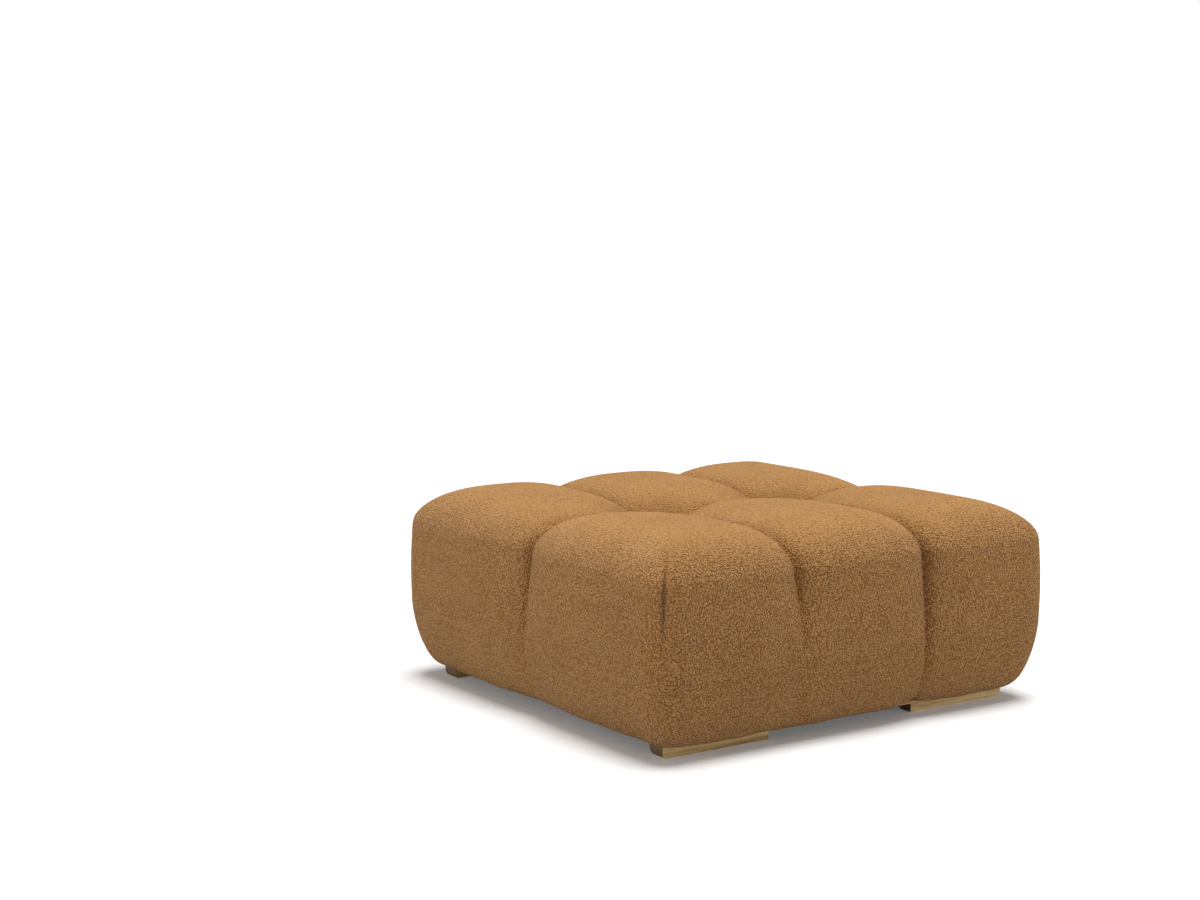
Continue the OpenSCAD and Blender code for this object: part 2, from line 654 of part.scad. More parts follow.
// Foam on one side of the frame, from the lid board's top down to the lower roll. Its columns
// run from corner to corner, and both ends are mitred along the corner's diagonal
module foam_side(first, count) {
    height = foam_last_row - board_row;
    width = count + 1;
    outer = [for (r = [board_row:foam_last_row], k = [0:count]) rim_point(first + k, rows[r], foam_depth)];
    low = [for (k = [0:count]) frame_point(first + k, outer[height * width + k][2])];
    high = [for (k = [0:count]) frame_point(first + k, lid_board_top)];
    function at(r, k) = r * width + k;
    function low_at(k) = at(height + 1, k);
    function high_at(k) = at(height + 2, k);
    color("#efe6b8") polyhedron(points = concat(outer, low, high), faces = concat(
        [for (r = [0:height - 1], k = [0:count - 1]) each quad(at(r, k), at(r, k + 1),
            at(r + 1, k + 1), at(r + 1, k))],
        [for (k = [0:count - 1]) each quad(at(height, k), at(height, k + 1), low_at(k + 1), low_at(k))],
        [for (k = [0:count - 1]) each quad(low_at(k), low_at(k + 1), high_at(k + 1), high_at(k))],
        [for (k = [0:count - 1]) each quad(high_at(k), high_at(k + 1), at(0, k + 1), at(0, k))],
        [for (r = [0:height - 1]) [high_at(0), at(r, 0), at(r + 1, 0)]],
        [for (r = [0:height - 1]) [high_at(count), at(r + 1, count), at(r, count)]],
        [[high_at(0), at(height, 0), low_at(0)], [high_at(count), low_at(count), at(height, count)]]));
}
module foam_front() foam_side(0, nx);
module foam_right() foam_side(nx, ny);
module foam_back() foam_side(nx + ny, nx);
module foam_left() foam_side(2 * nx + ny, ny);

// One sewn cover: the outer skin, the inner skin and the turned-up hem's edge
module cover() {
    last = len(rows) - 1;
    outer = skin_points(last, 0);
    inner = skin_points(last, cover_thickness);
    shift = len(outer);
    color("#b1824f") polyhedron(points = concat(outer, inner), faces = concat(
        skin_faces(last),
        [for (f = skin_faces(last)) reversed(f, shift)],
        [for (k = [0:rim_count - 1]) each quad(skin_index(last, k), skin_index(last, k + 1),
            skin_index(last, k + 1) + shift, skin_index(last, k) + shift)]));
}

// Places a strut piece with its own +Z from the lower pivot to the upper one
module along_strut(sx) {
    mirror_if(sx < 0) translate([strut_x, base_pivot[0], base_pivot[1]])
        rotate([-strut_lean, 0, 0]) children();
}
module eye_bore(z) {
    translate([-eye_width, 0, z]) rotate([0, 90, 0])
        cylinder(h = 2 * eye_width, r = stud_radius + running_clearance);
}
module eye(z) translate([-eye_width / 2, 0, z]) rotate([0, 90, 0]) cylinder(h = eye_width, r = eye_radius);

module strut_tube(sx) {
    color("#242527") along_strut(sx) difference() {
        union() {
            eye(0);
            cylinder(h = eye_neck + 1, r = neck_radius);
            translate([0, 0, eye_neck]) cylinder(h = tube_end - eye_neck, r = tube_radius);
        }
        eye_bore(0);
        translate([0, 0, eye_neck + 4]) cylinder(h = tube_end, r = tube_radius - tube_wall);
    }
}
module strut_tube_left() strut_tube(-1);
module strut_tube_right() strut_tube(1);

module strut_gland(sx) {
    color("#55585c") along_strut(sx) translate([0, 0, tube_end - gland_length]) difference() {
        cylinder(h = gland_length, r = tube_radius - tube_wall - running_clearance);
        translate([0, 0, -1]) cylinder(h = gland_length + 2, r = rod_radius + running_clearance);
    }
}
module strut_gland_left() strut_gland(-1);
module strut_gland_right() strut_gland(1);

module strut_rod(sx) {
    color("#d4d6d8") along_strut(sx) difference() {
        union() {
            translate([0, 0, piston_start]) cylinder(h = rod_length - eye_radius, r = rod_radius);
            translate([0, 0, closed_span - eye_neck]) cylinder(h = eye_neck - stud_radius, r = neck_radius);
            eye(closed_span);
        }
        eye_bore(closed_span);
    }
}
module strut_rod_left() strut_rod(-1);
module strut_rod_right() strut_rod(1);

module strut_piston(sx) {
    color("#77797c") along_strut(sx) translate([0, 0, piston_start]) difference() {
        cylinder(h = piston_length, r = tube_radius - tube_wall - piston_play);
        translate([0, 0, -1]) cylinder(h = piston_length + 2, r = rod_radius + running_clearance);
    }
}
module strut_piston_left() strut_piston(-1);
module strut_piston_right() strut_piston(1);

base_board();
foot_front_left();
foot_front_right();
foot_back_left();
foot_back_right();
foot_screws();
dust_cover();
box_front();
box_back();
box_left();
box_right();
box_lining_tray();
box_screws();
lid_buffers();
hinge_base_left();
hinge_base_middle();
hinge_base_right();
hinge_pins();
hinge_base_screws();
strut_bracket_base_left();
strut_bracket_base_right();
bracket_base_screws();
lid_front_panel();
lid_back_panel();
lid_left_panel();
lid_right_panel();
lid_board();
hinge_batten_rail();
lid_rails();
corner_blocks();
lid_lining();
lid_screws();
hinge_lid_left();
hinge_lid_middle();
hinge_lid_right();
hinge_lid_screws();
strut_bracket_lid_left();
strut_bracket_lid_right();
bracket_lid_screws();
foam_top();
foam_front();
foam_back();
foam_left();
foam_right();
tuft_ties();
cover();
strut_tube_left();
strut_tube_right();
strut_gland_left();
strut_gland_right();
strut_rod_left();
strut_rod_right();
strut_piston_left();
strut_piston_right();
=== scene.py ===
import math

import bmesh
import bpy
import numpy as np
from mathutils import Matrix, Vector


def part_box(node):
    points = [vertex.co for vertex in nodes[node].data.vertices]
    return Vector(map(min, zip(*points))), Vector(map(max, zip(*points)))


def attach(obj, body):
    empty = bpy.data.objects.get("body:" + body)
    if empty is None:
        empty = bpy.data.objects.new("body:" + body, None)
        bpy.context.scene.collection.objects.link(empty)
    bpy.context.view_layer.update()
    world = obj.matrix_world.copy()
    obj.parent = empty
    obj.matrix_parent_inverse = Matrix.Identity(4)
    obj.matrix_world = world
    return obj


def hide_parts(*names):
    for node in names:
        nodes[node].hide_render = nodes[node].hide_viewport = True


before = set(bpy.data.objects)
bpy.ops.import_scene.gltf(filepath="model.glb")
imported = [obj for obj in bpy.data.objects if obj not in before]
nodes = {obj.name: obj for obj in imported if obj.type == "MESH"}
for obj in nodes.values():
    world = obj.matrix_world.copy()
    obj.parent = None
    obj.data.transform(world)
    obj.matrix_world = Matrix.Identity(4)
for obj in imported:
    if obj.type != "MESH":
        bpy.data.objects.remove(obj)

bpy.context.view_layer.update()


# ---- Oak skid feet -----------------------------------------------------------------------------
# Four solid oak blocks, planed, eased along their edges with a block plane and finished with a
# clear matt lacquer. Two countersunk screws from above hold each one under the base board.

FOOT_NAMES = ["foot_front_left", "foot_front_right", "foot_back_left", "foot_back_right"]
EASED_EDGE, WELD_REACH, SHARP_ANGLE = 0.0012, 0.00001, 40
# The end faces' tone is partly darker end grain and partly painted shade
OAK_LIGHT, OAK_MIDDLE, OAK_DARK, OAK_END_AND_SHADE = "#E0C48A", "#D5B574", "#B18C52", "#6E6358"
OAK_PORE_TONE, WHITE = "#AEA295", "#FFFFFF"
OAK_GROWTH_RING, OAK_PORE = 0.0022, 0.0004
# A wave of the noise spans several rings or pores across the grain. Along it, both change slowly,
# at so many waves to the metre
RINGS_IN_WAVE, PORES_IN_WAVE = 9, 3
OAK_RING_WAVES, OAK_PORE_WAVES = 1.3, 28
MULTIPLIED = {"data_type": "RGBA", "blend_type": "MULTIPLY"}
# A face counts as square to an axis when its normal lies this far along it
SQUARE_ENOUGH = 0.7


def linear(code):
    """A #RRGGBB colour as the linear values that a shader takes"""
    parts = [int(code[i:i + 2], 16) / 255 for i in (1, 3, 5)]
    return [c / 12.92 if c <= 0.04045 else ((c + 0.055) / 1.055) ** 2.4 for c in parts] + [1.0]


def add(tree, kind, settings=None, inputs=None, stops=()):
    """Adds one node, with its settings, its inputs set or linked, and a colour ramp's stops"""
    node = tree.nodes.new(kind)
    for name, value in (settings or {}).items():
        setattr(node, name, value)
    for key, value in (inputs or {}).items():
        if isinstance(value, bpy.types.Node):
            value = value.outputs[0]
        if isinstance(value, bpy.types.NodeSocket):
            tree.links.new(value, node.inputs[key])
        else:
            node.inputs[key].default_value = linear(value) if isinstance(value, str) else value
    if stops:
        elements = node.color_ramp.elements
        while len(elements) < len(stops):
            elements.new(0.5)
        for element, (place, colour) in zip(elements, stops):
            element.position, element.color = place, linear(colour)
    return node


def new_material(name):
    """An empty material, and the tree to fill"""
    material = bpy.data.materials.new(name)
    material.use_nodes = True
    material.node_tree.nodes.clear()
    return material, material.node_tree


def dress(names, material):
    """Gives CAD nodes their material"""
    for name in names:
        nodes[name].data.materials.clear()
        nodes[name].data.materials.append(material)


def grain(tree, waves, scale, detail, distortion=0.0):
    """Noise with its own number of waves to the metre along each axis of the piece"""
    stretched = add(tree, "ShaderNodeMapping", inputs={
        "Vector": add(tree, "ShaderNodeTexCoord").outputs["Object"], "Scale": waves})
    return add(tree, "ShaderNodeTexNoise", inputs={
        "Vector": stretched, "Scale": scale, "Detail": detail, "Distortion": distortion})


def square_faces(tree, axis):
    """1 on the faces square to an axis, 0 on the others"""
    normal = add(tree, "ShaderNodeTexCoord").outputs["Normal"]
    split = add(tree, "ShaderNodeSeparateXYZ", inputs={"Vector": normal})
    facing = add(tree, "ShaderNodeMath", {"operation": "ABSOLUTE"}, {0: split.outputs[axis]})
    return add(tree, "ShaderNodeMath", {"operation": "GREATER_THAN"},
               {0: facing, 1: SQUARE_ENOUGH})


# Lacquered oak, plain-sawn along X: growth rings, fine open pores that catch the light, and
# end faces darker from end grain that has drunk the lacquer and darker still from painted shade.
# The lacquer gives a soft matt gloss
oak_lacquered, tree = new_material("oak_matt_lacquer")
across_rings, across_pores = 1 / OAK_GROWTH_RING / RINGS_IN_WAVE, 1 / OAK_PORE / PORES_IN_WAVE
rings = grain(tree, (OAK_RING_WAVES, across_rings, across_rings),
              scale=1.6, detail=3.0, distortion=0.7)
pores = grain(tree, (OAK_PORE_WAVES, across_pores, across_pores), scale=1.0, detail=2.0)
oak_tone = add(tree, "ShaderNodeValToRGB", inputs={"Fac": rings}, stops=[
    (0.30, OAK_DARK), (0.46, OAK_MIDDLE), (0.62, OAK_LIGHT)])
pore_tone = add(tree, "ShaderNodeValToRGB", inputs={"Fac": pores}, stops=[
    (0.34, OAK_PORE_TONE), (0.46, WHITE)])
with_pores = add(tree, "ShaderNodeMix", MULTIPLIED, {0: 0.75, 6: oak_tone, 7: pore_tone})
# The faces square to X take the end faces' tone: end grain darkened further by painted shade
with_shaded_ends = add(tree, "ShaderNodeMix", MULTIPLIED, {
    0: square_faces(tree, 0), 6: with_pores.outputs[2], 7: OAK_END_AND_SHADE})
pore_bump = add(tree, "ShaderNodeBump", inputs={
    "Height": pores, "Strength": 0.35, "Distance": 0.0003})
lacquer = add(tree, "ShaderNodeBsdfPrincipled", inputs={
    "Base Color": with_shaded_ends.outputs[2], "Roughness": 0.48, "IOR": 1.5, "Normal": pore_bump})
add(tree, "ShaderNodeOutputMaterial", inputs={"Surface": lacquer})
dress(FOOT_NAMES, oak_lacquered)
for name in FOOT_NAMES:
    weld = nodes[name].modifiers.new("joined_faces", "WELD")
    weld.merge_threshold = WELD_REACH
    eased = nodes[name].modifiers.new("eased_edges", "BEVEL")
    eased.width, eased.segments = EASED_EDGE, 3
    eased.limit_method, eased.angle_limit = "ANGLE", math.radians(SHARP_ANGLE)
    eased.use_clamp_overlap = True


# ---- Base board and storage box ----------------------------------------------------------------
# Birch plywood, 15 mm for the board and 12 mm for the box walls, sawn and sanded. The walls are
# glued and screwed at their corners and screwed up through the board.

PLY_LAYER = 0.0015
BIRCH_FIGURE_WAVES, FIGURE_STRETCH = 13.0, 9
BIRCH_FIBRE, BIRCH_FIBRE_WAVES, FIBRE_SHARE = 0.0012, 12.0, 0.45
BIRCH_FACE_PALE, BIRCH_FACE_LIGHT, BIRCH_FACE_DARK = "#E4CBA8", "#DCBC93", "#CAA57A"
BIRCH_PLY_LIGHT, BIRCH_PLY_DARK = "#CBA873", "#96693C"
ZINC_LIGHT, ZINC_DARK, ZINC_CLOUD = "#C4C8CB", "#9DA1A5", 0.00625


def birch_plywood(name, thickness_axis, grain_axis):
    """Rotary-cut face veneer, and the sawn layers on every edge across thickness_axis"""
    material, tree = new_material(name)
    figure_waves, fibre_waves = [BIRCH_FIGURE_WAVES] * 3, [0.5 / BIRCH_FIBRE] * 3
    figure_waves[grain_axis] = BIRCH_FIGURE_WAVES / FIGURE_STRETCH
    fibre_waves[grain_axis] = BIRCH_FIBRE_WAVES
    figure = grain(tree, figure_waves, scale=1.0, detail=3.0, distortion=0.5)
    fibre = grain(tree, fibre_waves, scale=1.0, detail=2.0)
    both = add(tree, "ShaderNodeMath", {"operation": "MULTIPLY_ADD"},
               {0: fibre, 1: FIBRE_SHARE, 2: figure})
    face = add(tree, "ShaderNodeValToRGB", inputs={"Fac": both}, stops=[
        (0.50, BIRCH_FACE_DARK), (0.72, BIRCH_FACE_LIGHT), (1.0, BIRCH_FACE_PALE)])
    split = add(tree, "ShaderNodeSeparateXYZ", inputs={
        "Vector": add(tree, "ShaderNodeTexCoord").outputs["Object"]})
    layers = add(tree, "ShaderNodeMath", {"operation": "MULTIPLY"},
                 {0: split.outputs[thickness_axis], 1: 0.5 / PLY_LAYER})
    layer = add(tree, "ShaderNodeMath", {"operation": "FRACT"}, {0: layers})
    edge = add(tree, "ShaderNodeValToRGB", inputs={"Fac": layer}, stops=[
        (0.0, BIRCH_PLY_DARK), (0.40, BIRCH_PLY_DARK),
        (0.52, BIRCH_PLY_LIGHT), (1.0, BIRCH_PLY_LIGHT)])
    colour = add(tree, "ShaderNodeMix", {"data_type": "RGBA"}, {
        0: square_faces(tree, thickness_axis), 6: edge, 7: face})
    bump = add(tree, "ShaderNodeBump", inputs={
        "Height": fibre, "Strength": 0.25, "Distance": 0.0003})
    sanded = add(tree, "ShaderNodeBsdfPrincipled", inputs={
        "Base Color": colour.outputs[2], "Roughness": 0.62, "IOR": 1.5, "Normal": bump})
    add(tree, "ShaderNodeOutputMaterial", inputs={"Surface": sanded})
    return material


# Bare sanded birch: pale faces with slow figure, brown and pale stripes on the sawn edges
plywood_flat = birch_plywood("birch_plywood_flat", 2, 0)
plywood_across = birch_plywood("birch_plywood_across", 1, 0)
plywood_along = birch_plywood("birch_plywood_along", 0, 1)
dress(["base_board"], plywood_flat)
dress(["box_front", "box_back"], plywood_across)
dress(["box_left", "box_right"], plywood_along)


def clouded(name, cloud, detail, stops, inputs, gloss=None, bump=None):
    """A hard surface with clouds of a given size in its tone and, as asked, its gloss and relief"""
    material, tree = new_material(name)
    clouds = add(tree, "ShaderNodeTexNoise", inputs={
        "Vector": add(tree, "ShaderNodeTexCoord").outputs["Object"],
        "Scale": 1 / cloud, "Detail": detail})
    tone = add(tree, "ShaderNodeValToRGB", inputs={"Fac": clouds}, stops=stops)
    inputs = {"Base Color": tone, **inputs}
    if gloss:
        inputs["Roughness"] = add(tree, "ShaderNodeMapRange", inputs={
            "Value": clouds, "To Min": gloss[0], "To Max": gloss[1]})
    if bump:
        inputs["Normal"] = add(tree, "ShaderNodeBump", inputs={
            "Height": clouds, "Strength": bump[0], "Distance": bump[1]})
    surface = add(tree, "ShaderNodeBsdfPrincipled", inputs=inputs)
    add(tree, "ShaderNodeOutputMaterial", inputs={"Surface": surface})
    return material


# Zinc-plated steel: bright but softly clouded, with the faint rainbow left out
zinc_plated = clouded(
    "zinc_plated_steel", ZINC_CLOUD, 4.0, [(0.35, ZINC_DARK), (0.65, ZINC_LIGHT)],
    {"Metallic": 1.0}, gloss=(0.28, 0.46), bump=(0.2, 0.0002))
dress(["foot_screws", "box_screws"], zinc_plated)


# ---- Box lining --------------------------------------------------------------------------------
# A natural cotton lining glued to the floor and walls of the box, plain woven. It keeps what is
# stored off the bare plywood.

COTTON_LIGHT, COTTON_DARK = "#DCD5C6", "#B3A994"
COTTON_THREAD, THREAD_WANDER, WANDER_LENGTH = 0.0016, 0.7, 0.0111


def plain_weave(tree, thread):
    """Warp and weft that pass over each other in turn, as a height from 0 to 1"""
    place = add(tree, "ShaderNodeTexCoord").outputs["Object"]
    wobble = add(tree, "ShaderNodeTexNoise", inputs={
        "Vector": place, "Scale": 1 / WANDER_LENGTH, "Detail": 2.0})
    moved = add(tree, "ShaderNodeVectorMath", {"operation": "MULTIPLY_ADD"},
                {0: wobble.outputs["Color"], 1: (thread * THREAD_WANDER,) * 3, 2: place})
    split = add(tree, "ShaderNodeSeparateXYZ", inputs={"Vector": moved}).outputs
    waves = []
    for axis in (0, 1):
        run = add(tree, "ShaderNodeMath", {"operation": "ADD"}, {0: split[axis], 1: split[2]})
        turn = add(tree, "ShaderNodeMath", {"operation": "MULTIPLY"},
                   {0: run, 1: math.pi / thread})
        waves.append(add(tree, "ShaderNodeMath", {"operation": "SINE"}, {0: turn}))
    product = add(tree, "ShaderNodeMath", {"operation": "MULTIPLY"}, {0: waves[0], 1: waves[1]})
    return add(tree, "ShaderNodeMapRange", inputs={"Value": product, "From Min": -1.0})


# Plain-woven cotton: a matt, even grid of threads, drawn at 1.6 mm so that it shows
cotton_lining, tree = new_material("woven_cotton_lining")
weave = plain_weave(tree, COTTON_THREAD)
cotton_tone = add(tree, "ShaderNodeValToRGB", inputs={"Fac": weave}, stops=[
    (0.1, COTTON_DARK), (0.7, COTTON_LIGHT)])
weave_bump = add(tree, "ShaderNodeBump", inputs={
    "Height": weave, "Strength": 0.5, "Distance": 0.0005})
cotton = add(tree, "ShaderNodeBsdfPrincipled", inputs={
    "Base Color": cotton_tone, "Roughness": 0.9, "Sheen Weight": 0.2, "Sheen Roughness": 0.5,
    "Specular IOR Level": 0.2, "Normal": weave_bump})
add(tree, "ShaderNodeOutputMaterial", inputs={"Surface": cotton})
dress(["box_lining_tray"], cotton_lining)


# ---- Dust cover --------------------------------------------------------------------------------
# Black spun-bond polypropylene under the base board, stretched and stapled along its edges. It
# keeps dust and dropped fluff out of the base.

SPUNBOND_DARK, SPUNBOND_LIGHT = "#1E1D1C", "#3A3937"
SPUNBOND_POINT, SPUNBOND_FIBRE = 0.0030, 0.00263
STAPLE_SPACING, STAPLE_CROWN, STAPLE_WIRE = 0.034, 0.011, 0.0006
STAPLE_FROM_EDGE, STAPLE_FROM_CORNER, STAPLE_FROM_FOOT = 0.007, 0.04, 0.02
BACK_ROW_HALF = 0.17


def spunbond(name, dark, light):
    """Tangled fibres held together by pressing at a grid of small points"""
    material, tree = new_material(name)
    place = add(tree, "ShaderNodeTexCoord").outputs["Object"]
    points = add(tree, "ShaderNodeTexVoronoi", inputs={
        "Vector": place, "Scale": 1 / SPUNBOND_POINT, "Randomness": 0.25})
    fibres = add(tree, "ShaderNodeTexNoise", inputs={
        "Vector": place, "Scale": 1 / SPUNBOND_FIBRE, "Detail": 4.0, "Distortion": 2.0})
    tone = add(tree, "ShaderNodeValToRGB", inputs={"Fac": fibres}, stops=[
        (0.35, dark), (0.68, light)])
    bump = add(tree, "ShaderNodeBump", inputs={
        "Height": points.outputs["Distance"], "Strength": 0.5, "Distance": 0.0004})
    felt = add(tree, "ShaderNodeBsdfPrincipled", inputs={
        "Base Color": tone, "Roughness": 0.8, "Specular IOR Level": 0.25,
        "Sheen Weight": 0.15, "Normal": bump})
    add(tree, "ShaderNodeOutputMaterial", inputs={"Surface": felt})
    return material


def staple_row_tree():
    """Geometry Nodes: one short wire crown at even steps along a path"""
    tree = bpy.data.node_groups.new("staple_row", "GeometryNodeTree")
    for name, kind in (("Path", "NodeSocketGeometry"), ("Spacing", "NodeSocketFloat"),
                       ("Crown", "NodeSocketFloat"), ("Wire", "NodeSocketFloat"),
                       ("Finish", "NodeSocketMaterial")):
        tree.interface.new_socket(name, in_out="INPUT", socket_type=kind)
    tree.interface.new_socket("Staples", in_out="OUTPUT", socket_type="NodeSocketGeometry")
    given = add(tree, "NodeGroupInput").outputs
    steps = add(tree, "GeometryNodeResampleCurve", {"mode": "LENGTH"},
                {"Curve": given["Path"], "Length": given["Spacing"]})
    turned = add(tree, "FunctionNodeAlignRotationToVector", {"axis": "X"},
                 {"Vector": add(tree, "GeometryNodeInputTangent")})
    ends = []
    for side in (-0.5, 0.5):
        along = add(tree, "ShaderNodeMath", {"operation": "MULTIPLY"},
                    {0: given["Crown"], 1: side})
        ends.append(add(tree, "ShaderNodeCombineXYZ", inputs={"X": along}))
    line = add(tree, "GeometryNodeCurvePrimitiveLine", inputs={
        "Start": ends[0], "End": ends[1]})
    ring = add(tree, "GeometryNodeCurvePrimitiveCircle", inputs={
        "Resolution": 6, "Radius": given["Wire"]})
    crown = add(tree, "GeometryNodeCurveToMesh", inputs={
        "Curve": line, "Profile Curve": ring, "Fill Caps": True})
    placed = add(tree, "GeometryNodeInstanceOnPoints", inputs={
        "Points": steps, "Instance": crown, "Rotation": turned})
    real = add(tree, "GeometryNodeRealizeInstances", inputs={"Geometry": placed})
    coloured = add(tree, "GeometryNodeSetMaterial", inputs={
        "Geometry": real, "Material": given["Finish"]})
    add(tree, "NodeGroupOutput", inputs={"Staples": coloured})
    return tree


def curve_object(name, lines, closed=False):
    """A poly curve through the points of each line"""
    curve = bpy.data.curves.new(name, "CURVE")
    curve.dimensions = "3D"
    for points in lines:
        spline = curve.splines.new("POLY")
        spline.points.add(len(points) - 1)
        for point, place in zip(spline.points, points):
            point.co = (*place, 1)
        spline.use_cyclic_u = closed
    piece = bpy.data.objects.new(name, curve)
    bpy.context.scene.collection.objects.link(piece)
    return piece


def made_by_nodes(name, source, tree, inputs):
    """Runs a Geometry Nodes tree on source and keeps the result as a plain mesh piece"""
    modifier = source.modifiers.new("rule", "NODES")
    modifier.node_group = tree
    for socket in tree.interface.items_tree:
        if socket.in_out == "INPUT" and socket.name in inputs:
            modifier[socket.identifier] = inputs[socket.name]
    evaluated = source.evaluated_get(bpy.context.evaluated_depsgraph_get())
    mesh = bpy.data.meshes.new_from_object(evaluated)
    mesh.name = name
    bpy.data.objects.remove(source)
    piece = bpy.data.objects.new(name, mesh)
    bpy.context.scene.collection.objects.link(piece)
    return piece


def staples(name, lines, closed=False):
    """A row of staples along each line"""
    return made_by_nodes(name, curve_object(name + "_path", lines, closed), staple_tree, {
        "Spacing": STAPLE_SPACING, "Crown": STAPLE_CROWN, "Wire": STAPLE_WIRE,
        "Finish": zinc_plated})


# Spun-bond felt: nearly black, faintly glossy, with a fine grid of pressed points. Its fibres are
# drawn some hundred times too coarse, so that they show
black_spunbond = spunbond("black_spunbond_felt", SPUNBOND_DARK, SPUNBOND_LIGHT)
dress(["dust_cover"], black_spunbond)
staple_tree = staple_row_tree()
dust_low, dust_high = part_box("dust_cover")
front_foot, back_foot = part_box("foot_front_left"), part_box("foot_back_left")
dust_z = dust_low.z - STAPLE_WIRE * 0.5
side_x = dust_high.x - STAPLE_FROM_EDGE
front_x = side_x - STAPLE_FROM_CORNER
front_y, back_y = dust_low.y + STAPLE_FROM_EDGE, dust_high.y - STAPLE_FROM_EDGE
side_ys = front_foot[1].y + STAPLE_FROM_FOOT, back_foot[0].y - STAPLE_FROM_FOOT
rows_below = [[(-front_x, front_y, dust_z), (front_x, front_y, dust_z)]]
for x in (-side_x, side_x):
    rows_below.append([(x, y, dust_z) for y in side_ys])
rows_below.append([(-BACK_ROW_HALF, back_y, dust_z), (BACK_ROW_HALF, back_y, dust_z)])
dust_staples = staples("dust_cover_staples", rows_below)
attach(dust_staples, "base")


# ---- Rubber buffers ----------------------------------------------------------------------------
# Six discs of black moulded rubber, stuck to the base board along its edge. The hood's panels
# land on them when it closes, so that it closes without a knock and leaves a gap at the floor.

RUBBER_DARK, RUBBER_LIGHT, RUBBER_BLOOM = "#141414", "#2C2B2A", 0.00455

# Moulded rubber: dull black, bloomed grey in patches
black_rubber = clouded(
    "black_moulded_rubber", RUBBER_BLOOM, 5.0, [(0.4, RUBBER_DARK), (0.7, RUBBER_LIGHT)],
    {"Roughness": 0.75, "IOR": 1.52}, bump=(0.3, 0.0003))
dress(["lid_buffers"], black_rubber)


# ---- Hinges ------------------------------------------------------------------------------------
# Three butt hinges of pressed, zinc-plated steel, low at the back between base board and batten,
# each with a riveted pin and three countersunk screws in each leaf.

for part in ("left", "middle", "right", "screws"):
    dress(["hinge_base_" + part, "hinge_lid_" + part], zinc_plated)
dress(["hinge_pins"], zinc_plated)


# ---- Gas struts --------------------------------------------------------------------------------
# Two gas struts: a black painted tube that turns on the box, and a chromed rod that turns on the
# hood, with pressed brackets and studs. The gland closes the tube round the rod.

BLACK_PAINT_LIGHT, BLACK_PAINT_DARK, ORANGE_PEEL = "#2A2B2D", "#1B1C1E", 0.00238
CHROME_LIGHT, CHROME_DARK, CHROME_CLOUD = "#DADDE0", "#C3C7CB", 0.00111

# Black stove enamel on steel: smooth, with a slight orange peel
black_painted = clouded(
    "black_painted_steel", ORANGE_PEEL, 2.0, [
        (0.3, BLACK_PAINT_DARK), (0.7, BLACK_PAINT_LIGHT)],
    {"Roughness": 0.36, "IOR": 1.5}, bump=(0.25, 0.0002))

# Hard chrome on a ground rod: a sharp mirror, faintly clouded by the grinding
chromed = clouded(
    "hard_chromed_rod", CHROME_CLOUD, 3.0, [(0.3, CHROME_DARK), (0.7, CHROME_LIGHT)],
    {"Metallic": 1.0}, gloss=(0.07, 0.16))

for side in ("left", "right"):
    dress(["strut_tube_" + side, "strut_gland_" + side], black_painted)
    dress(["strut_rod_" + side, "strut_piston_" + side], chromed)
    dress(["strut_bracket_base_" + side, "strut_bracket_lid_" + side], zinc_plated)
dress(["bracket_base_screws", "bracket_lid_screws"], zinc_plated)


# ---- Hood frame --------------------------------------------------------------------------------
# Four 18 mm plywood panels and a plywood top board, screwed together, with planed pine for the
# hinge batten, two rails and the glue blocks. A black felt closes the board from below.

PINE_LIGHT, PINE_MIDDLE, PINE_DARK = "#E2C892", "#D2AE72", "#B4854C"
PINE_RING, PINE_RINGS_IN_WAVE, PINE_WAVES = 0.0045, 6, 2.2
FELT_DARK, FELT_LIGHT = "#222426", "#3C3E41"

dress(["lid_board"], plywood_flat)
dress(["lid_front_panel", "lid_back_panel"], plywood_across)
dress(["lid_left_panel", "lid_right_panel"], plywood_along)
dress(["lid_screws"], zinc_plated)
dress(["lid_lining"], spunbond("black_lining_felt", FELT_DARK, FELT_LIGHT))


def pine(name, long_axis):
    """Pale early wood and darker late wood in long bands"""
    material, tree = new_material(name)
    waves = [1 / PINE_RING / PINE_RINGS_IN_WAVE] * 3
    waves[long_axis] = PINE_WAVES
    bands = grain(tree, waves, scale=1.3, detail=2.0, distortion=0.5)
    tone = add(tree, "ShaderNodeValToRGB", inputs={"Fac": bands}, stops=[
        (0.36, PINE_DARK), (0.44, PINE_MIDDLE), (0.60, PINE_LIGHT)])
    bump = add(tree, "ShaderNodeBump", inputs={
        "Height": bands, "Strength": 0.2, "Distance": 0.0005})
    planed = add(tree, "ShaderNodeBsdfPrincipled", inputs={
        "Base Color": tone, "Roughness": 0.58, "IOR": 1.5, "Normal": bump})
    add(tree, "ShaderNodeOutputMaterial", inputs={"Surface": planed})
    return material


# Planed pine: warm pale wood with clear bands, run along each piece
dress(["hinge_batten_rail"], pine("planed_pine_along", 0))
dress(["lid_rails"], pine("planed_pine_across", 1))
dress(["corner_blocks"], pine("planed_pine_upright", 2))


# ---- Tuft ties ---------------------------------------------------------------------------------
# Waxed linen twine from each blind tuft, down through the foam and the lid board, drawn tight and
# tied off on a toggle below the board. It keeps the dimples deep.

TWINE_LIGHT, TWINE_DARK = "#E9E2D2", "#B9AE97"
TWINE_PLY = 0.0009

